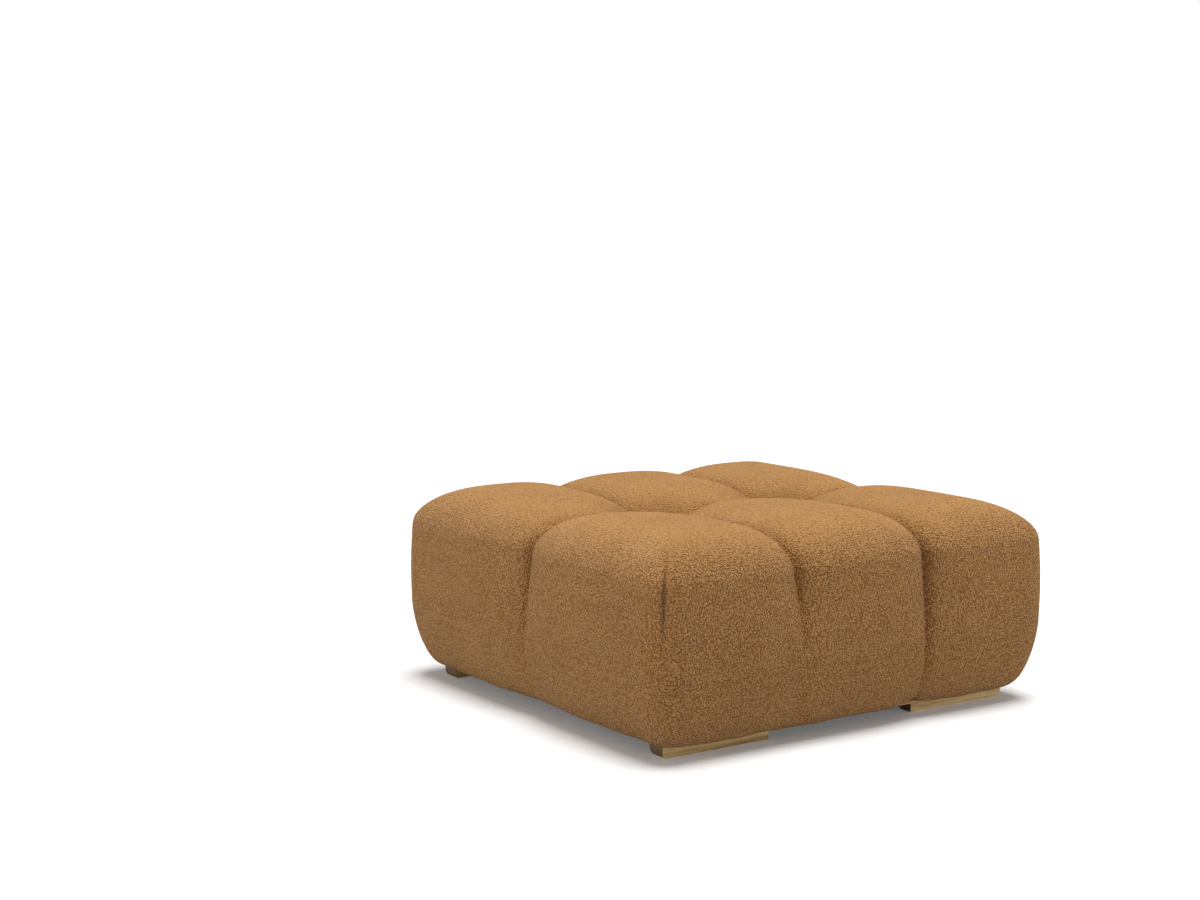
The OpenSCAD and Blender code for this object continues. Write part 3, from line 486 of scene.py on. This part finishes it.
# Waxed linen twine: twisted strands that show as fine slanted ridges
waxed_twine, tree = new_material("waxed_linen_twine")
twist = add(tree, "ShaderNodeTexWave", {"bands_direction": "DIAGONAL"}, {
    "Vector": add(tree, "ShaderNodeTexCoord").outputs["Object"],
    "Scale": 0.1 / TWINE_PLY, "Distortion": 1.0}).outputs["Fac"]
twine_tone = add(tree, "ShaderNodeValToRGB", inputs={"Fac": twist}, stops=[
    (0.1, TWINE_DARK), (0.7, TWINE_LIGHT)])
twist_bump = add(tree, "ShaderNodeBump", inputs={
    "Height": twist, "Strength": 0.6, "Distance": 0.0003})
waxed = add(tree, "ShaderNodeBsdfPrincipled", inputs={
    "Base Color": twine_tone, "Roughness": 0.5, "IOR": 1.45, "Normal": twist_bump})
add(tree, "ShaderNodeOutputMaterial", inputs={"Surface": waxed})
dress(["tuft_ties"], waxed_twine)


# ---- Padded cover ------------------------------------------------------------------------------
# One sewn cover of caramel boucle over foam, pulled down along the seams of three channels and at
# two blind tufts, turned under the foam and stapled to the hood's panels. It stands for the foam
# as well.

BODY_LENGTH, BODY_DEPTH, TOP_HEIGHT = 1.000, 0.974, 0.428
HALF_LENGTH, HALF_DEPTH, SEAM_X = BODY_LENGTH / 2, BODY_DEPTH / 2, BODY_LENGTH / 6
PANEL_BOTTOM, LID_BOARD_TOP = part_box("lid_front_panel")[0].z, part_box("lid_board")[1].z
HEM_HEIGHT, SHOULDER_REACH, SHOULDER_DROP, TOP_CROWN = 0.024, 0.160, 0.085, 0.0016
EDGE_BAND = SHOULDER_REACH + 0.030
LOWER_ROLL_HEIGHT, UNDERSIDE_TUCK = 0.142, 0.052
CORNER_RADIUS, TOP_CORNER_RADIUS = 0.052, 0.030
SIDE_SWELL, SWELL_HEIGHT, SWELL_REACH = 0.009, 0.230, 0.160
CROSS_CHANNEL_DEPTH, CROSS_CHANNEL_REACH = 0.034, 0.140
LONG_CHANNEL_DEPTH, LONG_CHANNEL_REACH = 0.033, 0.190
DIMPLE_DEPTH, DIMPLE_REACH, DIMPLE_STEEPNESS = 0.032, 0.110, 1.5
CREASE_DEPTH, CREASE_WIDTH, CREASE_LOSS_ON_TOP = 0.0058, 0.0110, 0.65
# What part of its depth each channel and crease loses on its way down to the hem
CROSS_LOSS, LONG_LOSS, CREASE_LOSS = 0.70, 0.85, 0.35
# The front's left channel and its crease run out early, and so do the long channel's creases
EARLY_LOSS, EARLY_FADE, EARLY_CREASE_FADE, LONG_CREASE_FADE = 0.97, 1.5, 1.7, 1.15
SHOULDER_ROWS, SIDE_ROWS, ROLL_ROWS = 23, 21, 18
TURN_INSET, TURN_RISE, FOLD_INSET, FOLD_HEIGHTS = 0.0575, 0.0012, 0.059, (0.0270, 0.0355)
FLAP_INSET, FLAP_THICKNESS, FLAP_TURN_RISE, FLAP_TURN_REACH = 0.072, 0.0014, 0.0008, 0.0010
CLOTH_CELL, FINE_CELL, FINE_REACH = 0.0110, 0.0042, 0.021
EDGE_CELL, EDGE_REACH, DART_CELL, DART_REACH = 0.0060, 0.070, 0.0028, 0.014
TINY = 1e-9


def smooth(t):
    t = np.clip(t, 0, 1)
    return t * t * (3 - 2 * t)


def ridge(u, width):
    """1 on a line, and soon 0 beside it"""
    return np.exp(-(u / width) ** 2)


def rising(z, start, span):
    """0 up to a start, 1 past a span above it"""
    return np.clip((z - start) / span, 0, 1)


def channel(u, reach):
    """Two round puffs that meet in a crease: 1 in the crease, 0 past its reach"""
    t = np.clip(1 - np.abs(u) / reach, 0, 1)
    return 1 - np.sqrt(1 - t * t)


def spaced(marks, cells):
    """Lines between the marks, each stretch with its own cell, mirrored about zero"""
    half = [0.0]
    for low, high, cell in zip(marks, marks[1:], cells):
        count = max(1, round((high - low) / cell))
        half += list(low + (high - low) * np.arange(1, count + 1) / count)
    half = np.array(half)
    return np.concatenate([-half[:0:-1], half])


def drawn_in(v, half, inset):
    """Draws the outer band of a line in, so that the line meets an inset rim"""
    inner = half - EDGE_BAND
    a = np.abs(v)
    outer = inner + (a - inner) * (EDGE_BAND - inset) / EDGE_BAND
    return np.where(a < inner, v, np.sign(v) * outer)


def plan_place(x, y, inset):
    """The place on an inset, round-cornered rim, and its outward direction seen from above"""
    kx, ky = HALF_LENGTH - inset, HALF_DEPTH - inset
    roundness = np.clip(1 - inset / SHOULDER_REACH, 0, 1)
    r = TOP_CORNER_RADIUS + (CORNER_RADIUS - TOP_CORNER_RADIUS) * roundness
    px, py = drawn_in(x, HALF_LENGTH, inset), drawn_in(y, HALF_DEPTH, inset)
    cx, cy = np.clip(px, r - kx, kx - r), np.clip(py, r - ky, ky - r)
    dx, dy = px - cx, py - cy
    n = np.hypot(dx, dy)
    safe = np.where(n < TINY, 1, n)
    m = np.maximum(np.abs(dx), np.abs(dy))
    return cx + m * dx / safe, cy + m * dy / safe, dx / safe, dy / safe


def swell(x, y, z, up):
    """How far the padding stands out from its plain form"""
    middle = TOP_HEIGHT - SHOULDER_DROP / 2
    down = np.clip((middle - z) / (middle - HEM_HEIGHT), 0, 1)
    fall = smooth(down)
    top = np.clip(up, 0, 1)
    front_left = (x < 0) & (y < 0)
    from_seam, from_tuft = np.abs(x) - SEAM_X, np.hypot(np.abs(x) - SEAM_X, y)
    cross = np.where(front_left, 1 - EARLY_LOSS * smooth(down * EARLY_FADE), 1 - CROSS_LOSS * fall)
    crease = ridge(from_seam, CREASE_WIDTH) * np.where(
        front_left, 1 - smooth(down * EARLY_CREASE_FADE), 1 - CREASE_LOSS * fall)
    crease = np.maximum(
        crease, ridge(y, CREASE_WIDTH) * (1 - smooth(down * LONG_CREASE_FADE)))
    return (TOP_CROWN * top * (1 - (x / HALF_LENGTH) ** 2) * (1 - (y / HALF_DEPTH) ** 2)
            + SIDE_SWELL * (1 - np.abs(up)) * np.cos(
                math.pi / 2 * np.clip((z - SWELL_HEIGHT) / SWELL_REACH, -1, 1))
            - CROSS_CHANNEL_DEPTH * cross * channel(from_seam, CROSS_CHANNEL_REACH)
            - LONG_CHANNEL_DEPTH * (1 - LONG_LOSS * fall) * channel(y, LONG_CHANNEL_REACH)
            - DIMPLE_DEPTH * top * np.exp(-(from_tuft / DIMPLE_REACH) ** DIMPLE_STEEPNESS)
            - CREASE_DEPTH * crease * (1 - CREASE_LOSS_ON_TOP * top))


def cover_rows():
    """Rows from the top's rim to the turned-in flap: inset, height, normal and swell direction"""
    rows = []
    for a in np.linspace(0, math.pi / 2, SHOULDER_ROWS):
        s, c = math.sin(a), math.cos(a)
        rows.append((SHOULDER_REACH * (1 - s), TOP_HEIGHT - SHOULDER_DROP * (1 - c), s, c, s, c))
    roll_top, flap_low = HEM_HEIGHT + LOWER_ROLL_HEIGHT, PANEL_BOTTOM - FLAP_THICKNESS
    for z in np.linspace(TOP_HEIGHT - SHOULDER_DROP, roll_top, SIDE_ROWS)[1:]:
        rows.append((0, z, 1, 0, 1, 0))
    for a in np.linspace(0, math.pi / 2, ROLL_ROWS)[1:]:
        s, c = math.sin(a), math.cos(a)
        rows.append((UNDERSIDE_TUCK * (1 - c), roll_top - LOWER_ROLL_HEIGHT * s, c, -s, c, -s))
    rows.append((TURN_INSET, HEM_HEIGHT + TURN_RISE, -1, -1, 0, -1))
    for z in (*FOLD_HEIGHTS, flap_low - FLAP_TURN_RISE):
        rows.append((FOLD_INSET, z, -1, 0, 0, 0))
    rows.append((FOLD_INSET + FLAP_TURN_REACH, flap_low, -1, 0, 0, 0))
    rows.append((FLAP_INSET, flap_low, 0, -1, 0, 0))
    return rows


def cover_mesh():
    """The cover's skin, from the top's middle to the edge of its turned-in flap"""
    xs = spaced((0, SEAM_X - FINE_REACH, SEAM_X, SEAM_X + FINE_REACH, HALF_LENGTH - EDGE_REACH,
                 HALF_LENGTH - DART_REACH, HALF_LENGTH),
                (CLOTH_CELL, FINE_CELL, FINE_CELL, CLOTH_CELL, EDGE_CELL, DART_CELL))
    ys = spaced((0, FINE_REACH, HALF_DEPTH - EDGE_REACH, HALF_DEPTH - DART_REACH, HALF_DEPTH),
                (FINE_CELL, CLOTH_CELL, EDGE_CELL, DART_CELL))
    nx, ny = len(xs) - 1, len(ys) - 1
    rows = cover_rows()
    points, normals = [], []

    def place(x, y, row):
        inset, z, out, up, swell_out, swell_up = row
        px, py, dx, dy = plan_place(x, y, inset)
        s = swell(px, py, z, up)
        points.append(np.stack([px + dx * swell_out * s, py + dy * swell_out * s,
                                z + swell_up * s + 0 * px], 1))
        normals.append(np.stack([dx * out, dy * out, up + 0 * px], 1))

    def number(i, j):
        return i * (ny + 1) + j

    gx, gy = np.meshgrid(xs, ys, indexing="ij")
    place(gx.ravel(), gy.ravel(), rows[0])
    rim = ([(i, 0) for i in range(nx)] + [(nx, j) for j in range(ny)]
           + [(i, ny) for i in range(nx, 0, -1)] + [(0, j) for j in range(ny, 0, -1)])
    rim_x = np.array([xs[i] for i, _ in rim])
    rim_y = np.array([ys[j] for _, j in rim])
    for row in rows[1:]:
        place(rim_x, rim_y, row)
    count = len(rim)
    ring = [[number(i, j) for i, j in rim]]
    start = (nx + 1) * (ny + 1)
    for r in range(len(rows) - 1):
        ring.append(list(range(start + r * count, start + (r + 1) * count)))
    faces = [(number(i, j), number(i + 1, j), number(i + 1, j + 1), number(i, j + 1))
             for i in range(nx) for j in range(ny)]
    for upper, lower in zip(ring, ring[1:]):
        faces += [(lower[k], lower[(k + 1) % count], upper[(k + 1) % count], upper[k])
                  for k in range(count)]
    return np.concatenate(points), np.concatenate(normals), faces


rest, rest_normal, cover_faces = cover_mesh()
length = np.linalg.norm(rest_normal, axis=1, keepdims=True)
rest_normal = rest_normal / np.where(length < TINY, 1, length)
lying = np.clip(rest_normal[:, 2], 0, 1)

# The cloth run: how much too large the cover is cut, how long it runs, where it is held, and how
# far its folds may move it
CLOTH_EASE, SIM_FRAMES, FOAM_GIVE = -0.012, 14, 0.003
SEAM_HOLD_WIDTH, SEAM_HOLD_BOTTOM, SEAM_HOLD_SPAN = 0.014, 0.16, 0.10
HEM_HOLD_TOP, HEM_HOLD_SPAN = 0.060, 0.030
EASE_ROUNDS, MOVE_CAP, CAP_SPREAD, SIDEWAYS_SHARE = 40, 0.0030, 2.5, 0.5


def mesh_object(name, vertices, faces):
    mesh = bpy.data.meshes.new(name)
    mesh.from_pydata([tuple(v) for v in vertices], [], faces)
    piece = bpy.data.objects.new(name, mesh)
    bpy.context.scene.collection.objects.link(piece)
    return piece


def numbers_where(chosen):
    return [int(i) for i in np.nonzero(chosen)[0]]


def pressed_cloth(vertices, faces, held):
    """Inflates the body as cloth, held at its seams, tufts and frame, and gives its new points"""
    cloth = mesh_object("cloth_run", vertices, faces)
    group = cloth.vertex_groups.new(name="held")
    levels = np.round(held, 2)
    for level in np.unique(levels):
        if level > 0:
            group.add(numbers_where(levels == level), float(level), "REPLACE")
    run = cloth.modifiers.new("cloth", "CLOTH")
    fabric = run.settings
    fabric.quality = 5
    fabric.mass = 0.4
    fabric.tension_stiffness = fabric.compression_stiffness = 12
    fabric.shear_stiffness = 6
    fabric.bending_stiffness = 1.2
    fabric.tension_damping = fabric.compression_damping = 8
    fabric.use_pressure = True
    fabric.uniform_pressure_force = 4
    fabric.shrink_min = CLOTH_EASE
    fabric.vertex_group_mass = "held"
    fabric.pin_stiffness = 1
    fabric.effector_weights.gravity = 0
    run.point_cache.frame_start, run.point_cache.frame_end = 1, SIM_FRAMES
    for frame_number in range(1, SIM_FRAMES + 1):
        bpy.context.scene.frame_set(frame_number)
    result = cloth.evaluated_get(bpy.context.evaluated_depsgraph_get()).to_mesh()
    points = np.zeros(len(vertices) * 3)
    result.vertices.foreach_get("co", points)
    bpy.context.scene.frame_set(1)
    bpy.data.objects.remove(cloth)
    return points.reshape(-1, 3)


def cover_holds():
    """How firmly the cloth is held: fully at frame and hem, and along the seams near the top"""
    x, y, z = rest.T
    above = rising(z, SEAM_HOLD_BOTTOM, SEAM_HOLD_SPAN)
    cross = ridge(np.abs(x) - SEAM_X, SEAM_HOLD_WIDTH) * above
    along = ridge(y, SEAM_HOLD_WIDTH) * above
    hem = np.clip((HEM_HOLD_TOP - z) / HEM_HOLD_SPAN, 0, 1)
    return np.clip(np.maximum.reduce([cross, along, hem]), 0, 1)


def eased_move(move, held):
    """Keeps the run's folds and drops its overall swelling, within a cap"""
    corners = np.array(cover_faces)
    pairs = np.concatenate([corners[:, [k, (k + 1) % 4]] for k in range(4)])
    neighbours = 1.0 + np.bincount(pairs[:, 0], minlength=len(rest))
    for _ in range(EASE_ROUNDS):
        spread = move.copy()
        for axis in range(3):
            spread[:, axis] += np.bincount(pairs[:, 0], move[pairs[:, 1], axis], len(move))
        move = spread / neighbours[:, None]
    out = (move * rest_normal).sum(1)
    side = move - out[:, None] * rest_normal
    free = held < 0.5
    out = out - np.median(out[free])
    out = MOVE_CAP * np.tanh(out / (CAP_SPREAD * np.std(out[free])))
    reach = np.maximum(np.linalg.norm(side, axis=1), TINY)
    capped = MOVE_CAP * np.tanh(reach / (CAP_SPREAD * reach.std() + TINY)) / reach
    side = side * capped[:, None] * SIDEWAYS_SHARE
    return (rest_normal * out[:, None] + side) * (1 - held)[:, None]


body = rest.copy()
held = cover_holds()
blown = pressed_cloth(rest - rest_normal * FOAM_GIVE, cover_faces, held)
body += eased_move(blown - rest, held)

# Hand-made unevenness: corner darts, pull lines at the tufts and a hem that isn't quite straight
DART_DEPTH, DART_WIDTH, DART_HEIGHT, DART_LENGTH = 0.0066, 0.0056, 0.322, 0.062
DART_FROM_CORNER = 0.09
PULL_DEPTH, PULL_LINES, PULL_TURN, PULL_RING, PULL_LENGTH = 0.0018, 9, 3, 0.045, 0.035
PULL_LEVEL, PULL_LEVEL_SPAN = 0.6, 0.3
PINCH_DEPTH, PINCH_REACH = 0.0090, 0.042
HEM_WAVE, WAVE_HEIGHT, WAVE_REACH = 0.0011, 0.034, 0.05
HEM_WAVES = ((1.0, 31, 17, 0.0), (0.6, 67, -43, 1.0))

x, y, z = body.T
from_tuft = np.hypot(np.abs(x) - SEAM_X, y)
past_x, past_y = np.abs(x) - HALF_LENGTH, np.abs(y) - HALF_DEPTH
dart = DART_DEPTH * ridge(past_x - past_y, DART_WIDTH) * ridge(z - DART_HEIGHT, DART_LENGTH)
dart *= np.hypot(past_x, past_y) < DART_FROM_CORNER
around = np.arctan2(y, np.abs(x) - SEAM_X)
pull = PULL_DEPTH * np.sin(PULL_LINES * around + PULL_TURN * np.sign(x))
pull *= ridge(from_tuft - PULL_RING, PULL_LENGTH)
pull *= smooth((rest_normal[:, 2] - PULL_LEVEL) / PULL_LEVEL_SPAN)
wave = HEM_WAVE * np.clip(1 - np.abs(z - WAVE_HEIGHT) / WAVE_REACH, 0, 1) * sum(
    share * np.sin(run_x * x + run_y * y + begin) for share, run_x, run_y, begin in HEM_WAVES)
pinch = PINCH_DEPTH * ridge(from_tuft, PINCH_REACH) * lying
body += rest_normal * (pull - pinch - dart + wave)[:, None]

# How much painted shade darkens the pile along the channels, round the tufts and in the darts,
# and how far the pile stands: it lies flatter on the top. The turned-in flap's underside has none
CREASE_SHADE_REACH, CREASE_SHADE_ON_SIDES, CREASE_SHADE_TOP_LESS = 0.020, 0.45, 0.20
CROSS_SHADE_RISE, LONG_SHADE_RISE = (0.08, 0.22), (0.12, 0.20)
TUFT_SHADE_REACH, DART_SHADE = 0.085, 0.6
STANDING_ON_TOP, STANDING_GAIN, STANDING_SPAN = 0.60, 0.40, 0.85
PILE_BOTTOM, UNDERSIDE_INSET, UNDERSIDE_TOP = 0.0255, 0.0580, 0.050
LOCK_SIZE, LOCK_HEIGHT = 0.012, 0.0004


def measure(piece, name, values):
    """A value at each point, for the material to read"""
    piece.data.attributes.new(name, "FLOAT", "POINT").data.foreach_set("value", values)


skin = mesh_object("cover_skin", body, cover_faces)
x, y, z = body.T
seam_shade = CREASE_SHADE_ON_SIDES - CREASE_SHADE_TOP_LESS * lying
# Painted shade along the channels' seams, round the tufts and in the darts, for the material
measure(skin, "crease_shade", np.maximum.reduce([
    seam_shade * ridge(np.abs(x) - SEAM_X, CREASE_SHADE_REACH) * rising(z, *CROSS_SHADE_RISE),
    seam_shade * ridge(y, CREASE_SHADE_REACH) * rising(z, *LONG_SHADE_RISE),
    ridge(from_tuft, TUFT_SHADE_REACH) * lying, np.minimum(DART_SHADE, dart / DART_DEPTH)]))
measure(skin, "standing",
        STANDING_ON_TOP + STANDING_GAIN * smooth((1 - lying) / STANDING_SPAN))
underside = ((np.abs(rest[:, 0]) < HALF_LENGTH - UNDERSIDE_INSET)
             & (np.abs(rest[:, 1]) < HALF_DEPTH - UNDERSIDE_INSET) & (rest[:, 2] < UNDERSIDE_TOP))
pile = skin.vertex_groups.new(name="pile")
pile.add(numbers_where((rest[:, 2] > PILE_BOTTOM) & ~underside), 1.0, "REPLACE")
finer = skin.modifiers.new("finer", "SUBSURF")
finer.levels = finer.render_levels = 1
locks = bpy.data.textures.new("locks", "CLOUDS")
locks.noise_scale = LOCK_SIZE
tufted = skin.modifiers.new("locks", "DISPLACE")
tufted.texture, tufted.strength, tufted.mid_level = locks, LOCK_HEIGHT, 0.5
tufted.texture_coords, tufted.vertex_group = "LOCAL", "pile"
finished = skin.evaluated_get(bpy.context.evaluated_depsgraph_get())
cover_data = bpy.data.meshes.new_from_object(finished)
cover_data.name = "boucle_cover"
bpy.data.objects.remove(skin)

# The inner side closes the body: over the flap, out to the panels' faces, up to the lid board
PANEL_INSET = HALF_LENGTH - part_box("lid_right_panel")[1].x
shell = bmesh.new()
shell.from_mesh(cover_data)
edge_loop = [edge for edge in shell.edges if edge.is_boundary]
for inset, height in ((None, PANEL_BOTTOM), (PANEL_INSET, PANEL_BOTTOM),
                      (PANEL_INSET, LID_BOARD_TOP)):
    grown = bmesh.ops.extrude_edge_only(shell, edges=edge_loop)["geom"]
    for vertex in (item for item in grown if isinstance(item, bmesh.types.BMVert)):
        place = vertex.co
        place.z = height
        if inset:
            reach = max(abs(place.x) / (HALF_LENGTH - inset), abs(place.y) / (HALF_DEPTH - inset))
            place.x, place.y = place.x / reach, place.y / reach
    edge_loop = [item for item in grown if isinstance(item, bmesh.types.BMEdge)]
bmesh.ops.contextual_create(shell, geom=edge_loop)
bmesh.ops.recalc_face_normals(shell, faces=shell.faces)
for face in shell.faces:
    face.smooth = True
shell.to_mesh(cover_data)
shell.free()
cover = bpy.data.objects.new("boucle_cover", cover_data)
bpy.context.scene.collection.objects.link(cover)

# Caramel boucle: curled loops of yarn that catch light on one flank, lighter at their tips and
# darkening with depth into painted shade between them, greyer with painted shade in the creases,
# and drifting slowly in tone. The loops are drawn at 4.0 mm, a little over their real size,
# because finer ones don't show
BOUCLE_LOOP, LOOP_DEPTH, LOOP_TANGLE, CURL_SHARE = 0.0040, 0.0082, 0.5, -0.5
BOUCLE_TIP, BOUCLE_BODY, BOUCLE_GAP_SHADE = "#D9A668", "#C89257", "#9A6938"
# The first tone darkens the pile as painted shade in the creases; the second tints the sheen
CREASE_SHADE_TONE, HALO_TONE = "#C4B8A8", "#F4DEC0"
DRIFT_WIDTH, DRIFT_TONE = 0.1111, "#F7F6F3"

boucle, tree = new_material("caramel_boucle_pile")
place = add(tree, "ShaderNodeTexCoord").outputs["Object"]
tangle = add(tree, "ShaderNodeTexNoise", inputs={
    "Vector": place, "Scale": 0.9 / BOUCLE_LOOP, "Detail": 1.0})
tangled = add(tree, "ShaderNodeVectorMath", {"operation": "MULTIPLY_ADD"},
              {0: tangle.outputs["Color"], 1: (BOUCLE_LOOP * LOOP_TANGLE,) * 3, 2: place})
loops = add(tree, "ShaderNodeTexVoronoi", {"feature": "SMOOTH_F1"}, {
    "Vector": tangled, "Scale": 1 / BOUCLE_LOOP, "Smoothness": 0.10, "Randomness": 0.75})
curls = add(tree, "ShaderNodeTexNoise", inputs={
    "Vector": tangled, "Scale": 1.6 / BOUCLE_LOOP, "Detail": 1.0, "Distortion": 0.6})
curled = add(tree, "ShaderNodeMath", {"operation": "MULTIPLY_ADD"},
             {0: curls, 1: CURL_SHARE, 2: loops.outputs["Distance"]})
standing = add(tree, "ShaderNodeAttribute", {"attribute_name": "standing"}).outputs["Fac"]
height = add(tree, "ShaderNodeMath", {"operation": "MULTIPLY"}, {0: curled, 1: standing})
# Painted shade: the tone darkens with depth into the pile, from light loop tips to dark gaps
depth_shaded_tone = add(tree, "ShaderNodeValToRGB", inputs={"Fac": height}, stops=[
    (0.0, BOUCLE_TIP), (0.17, BOUCLE_BODY), (0.36, BOUCLE_GAP_SHADE)])
drift = add(tree, "ShaderNodeTexNoise", inputs={
    "Vector": place, "Scale": 1 / DRIFT_WIDTH, "Detail": 1.0})
drift_tone = add(tree, "ShaderNodeValToRGB", inputs={"Fac": drift}, stops=[
    (0.3, DRIFT_TONE), (0.7, WHITE)])
drifting = add(tree, "ShaderNodeMix", MULTIPLIED, {0: 1.0, 6: depth_shaded_tone, 7: drift_tone})
# The painted crease shade is multiplied into the pile's tone
crease_shade = add(tree, "ShaderNodeAttribute", {"attribute_name": "crease_shade"}).outputs["Fac"]
boucle_tone = add(tree, "ShaderNodeMix", MULTIPLIED, {
    0: crease_shade, 6: drifting.outputs[2], 7: CREASE_SHADE_TONE})
depth = add(tree, "ShaderNodeMath", {"operation": "SUBTRACT"}, {0: 1.0, 1: height})
loop_bump = add(tree, "ShaderNodeBump", inputs={
    "Height": depth, "Strength": 1.0, "Distance": LOOP_DEPTH})
pile_shader = add(tree, "ShaderNodeBsdfPrincipled", inputs={
    "Base Color": boucle_tone.outputs[2], "Roughness": 0.95, "Specular IOR Level": 0.12,
    "Sheen Weight": 0.26, "Sheen Roughness": 0.40, "Sheen Tint": HALO_TONE,
    "Normal": loop_bump})
add(tree, "ShaderNodeOutputMaterial", inputs={"Surface": pile_shader})
cover.data.materials.append(boucle)
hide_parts("cover", "foam_top", "foam_front", "foam_back", "foam_left", "foam_right")
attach(cover, "lid")


# ---- Hem staples -------------------------------------------------------------------------------
# Fine wire staples in a row all round. The cover's flap is turned in under the hood's panels and
# stapled up into their lower edges, a little in from the fold.

HEM_ROW_INSET, HEM_ROW_TURN, TURN_STEPS = 0.066, 0.030, 6

hem_line = []
turn_x = HALF_LENGTH - HEM_ROW_INSET - HEM_ROW_TURN
turn_y = HALF_DEPTH - HEM_ROW_INSET - HEM_ROW_TURN
hem_row_z = PANEL_BOTTOM - FLAP_THICKNESS - STAPLE_WIRE * 0.5
for sx, sy, begin in ((1, -1, -90), (1, 1, 0), (-1, 1, 90), (-1, -1, 180)):
    for step in range(TURN_STEPS + 1):
        a = math.radians(begin + 90 / TURN_STEPS * step)
        hem_line.append((sx * turn_x + HEM_ROW_TURN * math.cos(a),
                         sy * turn_y + HEM_ROW_TURN * math.sin(a), hem_row_z))
hem_staples = staples("hem_staples", [hem_line], closed=True)
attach(hem_staples, "lid")


# ---- Floor, light and camera -------------------------------------------------------------------
# A pale floor that keeps the contact shadow, one broad lamp above and two weak side fills, one
# from the left and one from the front.

FLOOR_TONE, FLOOR_HALF, SHADOW_LIFT, BOUNCE_TONE = "#F2F2F2", 30.0, 0.10, "#CFCDCA"
SUN_STRENGTH, SUN_SOFTNESS, SUN_TILT = 3.35, 34.0, (1, 4, 0)
SKY_STRENGTH = 0.24
# Each side fill: its name, its place, what it looks at, its size and its power
FILLS = (("left_fill", (-3.2, 0.3, 0.5), (0, 0, 0.10), 0.9, 24.0),
         ("front_fill", (2.4, -3.0, 0.45), (0, 0, 0.05), 0.8, 28.0))
FILL_TONE = (1.0, 0.96, 0.90)
CAMERA_PLACE = Vector((-2.6331, -3.4357, 1.0572))
CAMERA_YAW, CAMERA_PITCH, CAMERA_LENS, SENSOR_WIDTH = 0.595, 0.1246, 60.79, 36.0


def seen_directly(tree):
    """1 for rays that show a thing to the eye, 0 for those that only carry light"""
    ray = add(tree, "ShaderNodeLightPath").outputs
    direct = add(tree, "ShaderNodeMath", {"operation": "MAXIMUM"},
                 {0: ray["Is Camera Ray"], 1: ray["Is Glossy Ray"]})
    return add(tree, "ShaderNodeMath", {"operation": "MAXIMUM"},
               {0: direct, 1: ray["Is Transmission Ray"]})


# Pale matt floor: nearly white to the eye, with a lift that keeps its shadow light
floor = mesh_object("floor", [(x * FLOOR_HALF, y * FLOOR_HALF, 0) for x, y in (
    (-1, -1), (1, -1), (1, 1), (-1, 1))], [(0, 1, 2, 3)])
floor_finish, tree = new_material("pale_floor")
matt = add(tree, "ShaderNodeBsdfDiffuse", inputs={"Color": FLOOR_TONE})
lift = add(tree, "ShaderNodeEmission", inputs={"Color": WHITE, "Strength": SHADOW_LIFT})
shown = add(tree, "ShaderNodeAddShader", inputs={0: matt, 1: lift})
dim = add(tree, "ShaderNodeBsdfDiffuse", inputs={"Color": BOUNCE_TONE})
either = add(tree, "ShaderNodeMixShader", inputs={0: seen_directly(tree), 1: dim, 2: shown})
add(tree, "ShaderNodeOutputMaterial", inputs={"Surface": either})
floor.data.materials.append(floor_finish)

world = bpy.data.worlds.new("studio")
bpy.context.scene.world = world
world.use_nodes = True
tree = world.node_tree
tree.nodes.clear()
soft = add(tree, "ShaderNodeBackground", inputs={"Color": WHITE, "Strength": SKY_STRENGTH})
white = add(tree, "ShaderNodeBackground", inputs={"Color": WHITE, "Strength": 1.0})
sky = add(tree, "ShaderNodeMixShader", inputs={0: seen_directly(tree), 1: soft, 2: white})
add(tree, "ShaderNodeOutputWorld", inputs={"Surface": sky})


def lamp(name, place, aim, size, power):
    """A square soft lamp at place that looks at aim"""
    light = bpy.data.lights.new(name, "AREA")
    light.shape, light.size, light.energy, light.color = "SQUARE", size, power, FILL_TONE
    stand = bpy.data.objects.new(name, light)
    bpy.context.scene.collection.objects.link(stand)
    stand.location = place
    stand.rotation_mode = "QUATERNION"
    stand.rotation_quaternion = (Vector(aim) - Vector(place)).to_track_quat("-Z", "Y")


overhead = bpy.data.lights.new("overhead", "SUN")
overhead.energy, overhead.angle = SUN_STRENGTH, math.radians(SUN_SOFTNESS)
overhead_stand = bpy.data.objects.new("overhead", overhead)
bpy.context.scene.collection.objects.link(overhead_stand)
overhead_stand.rotation_euler = [math.radians(tilt) for tilt in SUN_TILT]
for fill in FILLS:
    lamp(*fill)

camera = bpy.data.objects.new("camera", bpy.data.cameras.new("camera"))
bpy.context.scene.collection.objects.link(camera)
camera.data.sensor_width, camera.data.lens = SENSOR_WIDTH, CAMERA_LENS
camera.location = CAMERA_PLACE
forward = Vector((math.sin(CAMERA_YAW) * math.cos(CAMERA_PITCH),
                  math.cos(CAMERA_YAW) * math.cos(CAMERA_PITCH), -math.sin(CAMERA_PITCH)))
camera.rotation_mode = "QUATERNION"
camera.rotation_quaternion = forward.to_track_quat("-Z", "Y")
bpy.context.scene.camera = camera
bpy.context.scene.view_settings.view_transform = "Standard"


bpy.context.view_layer.update()
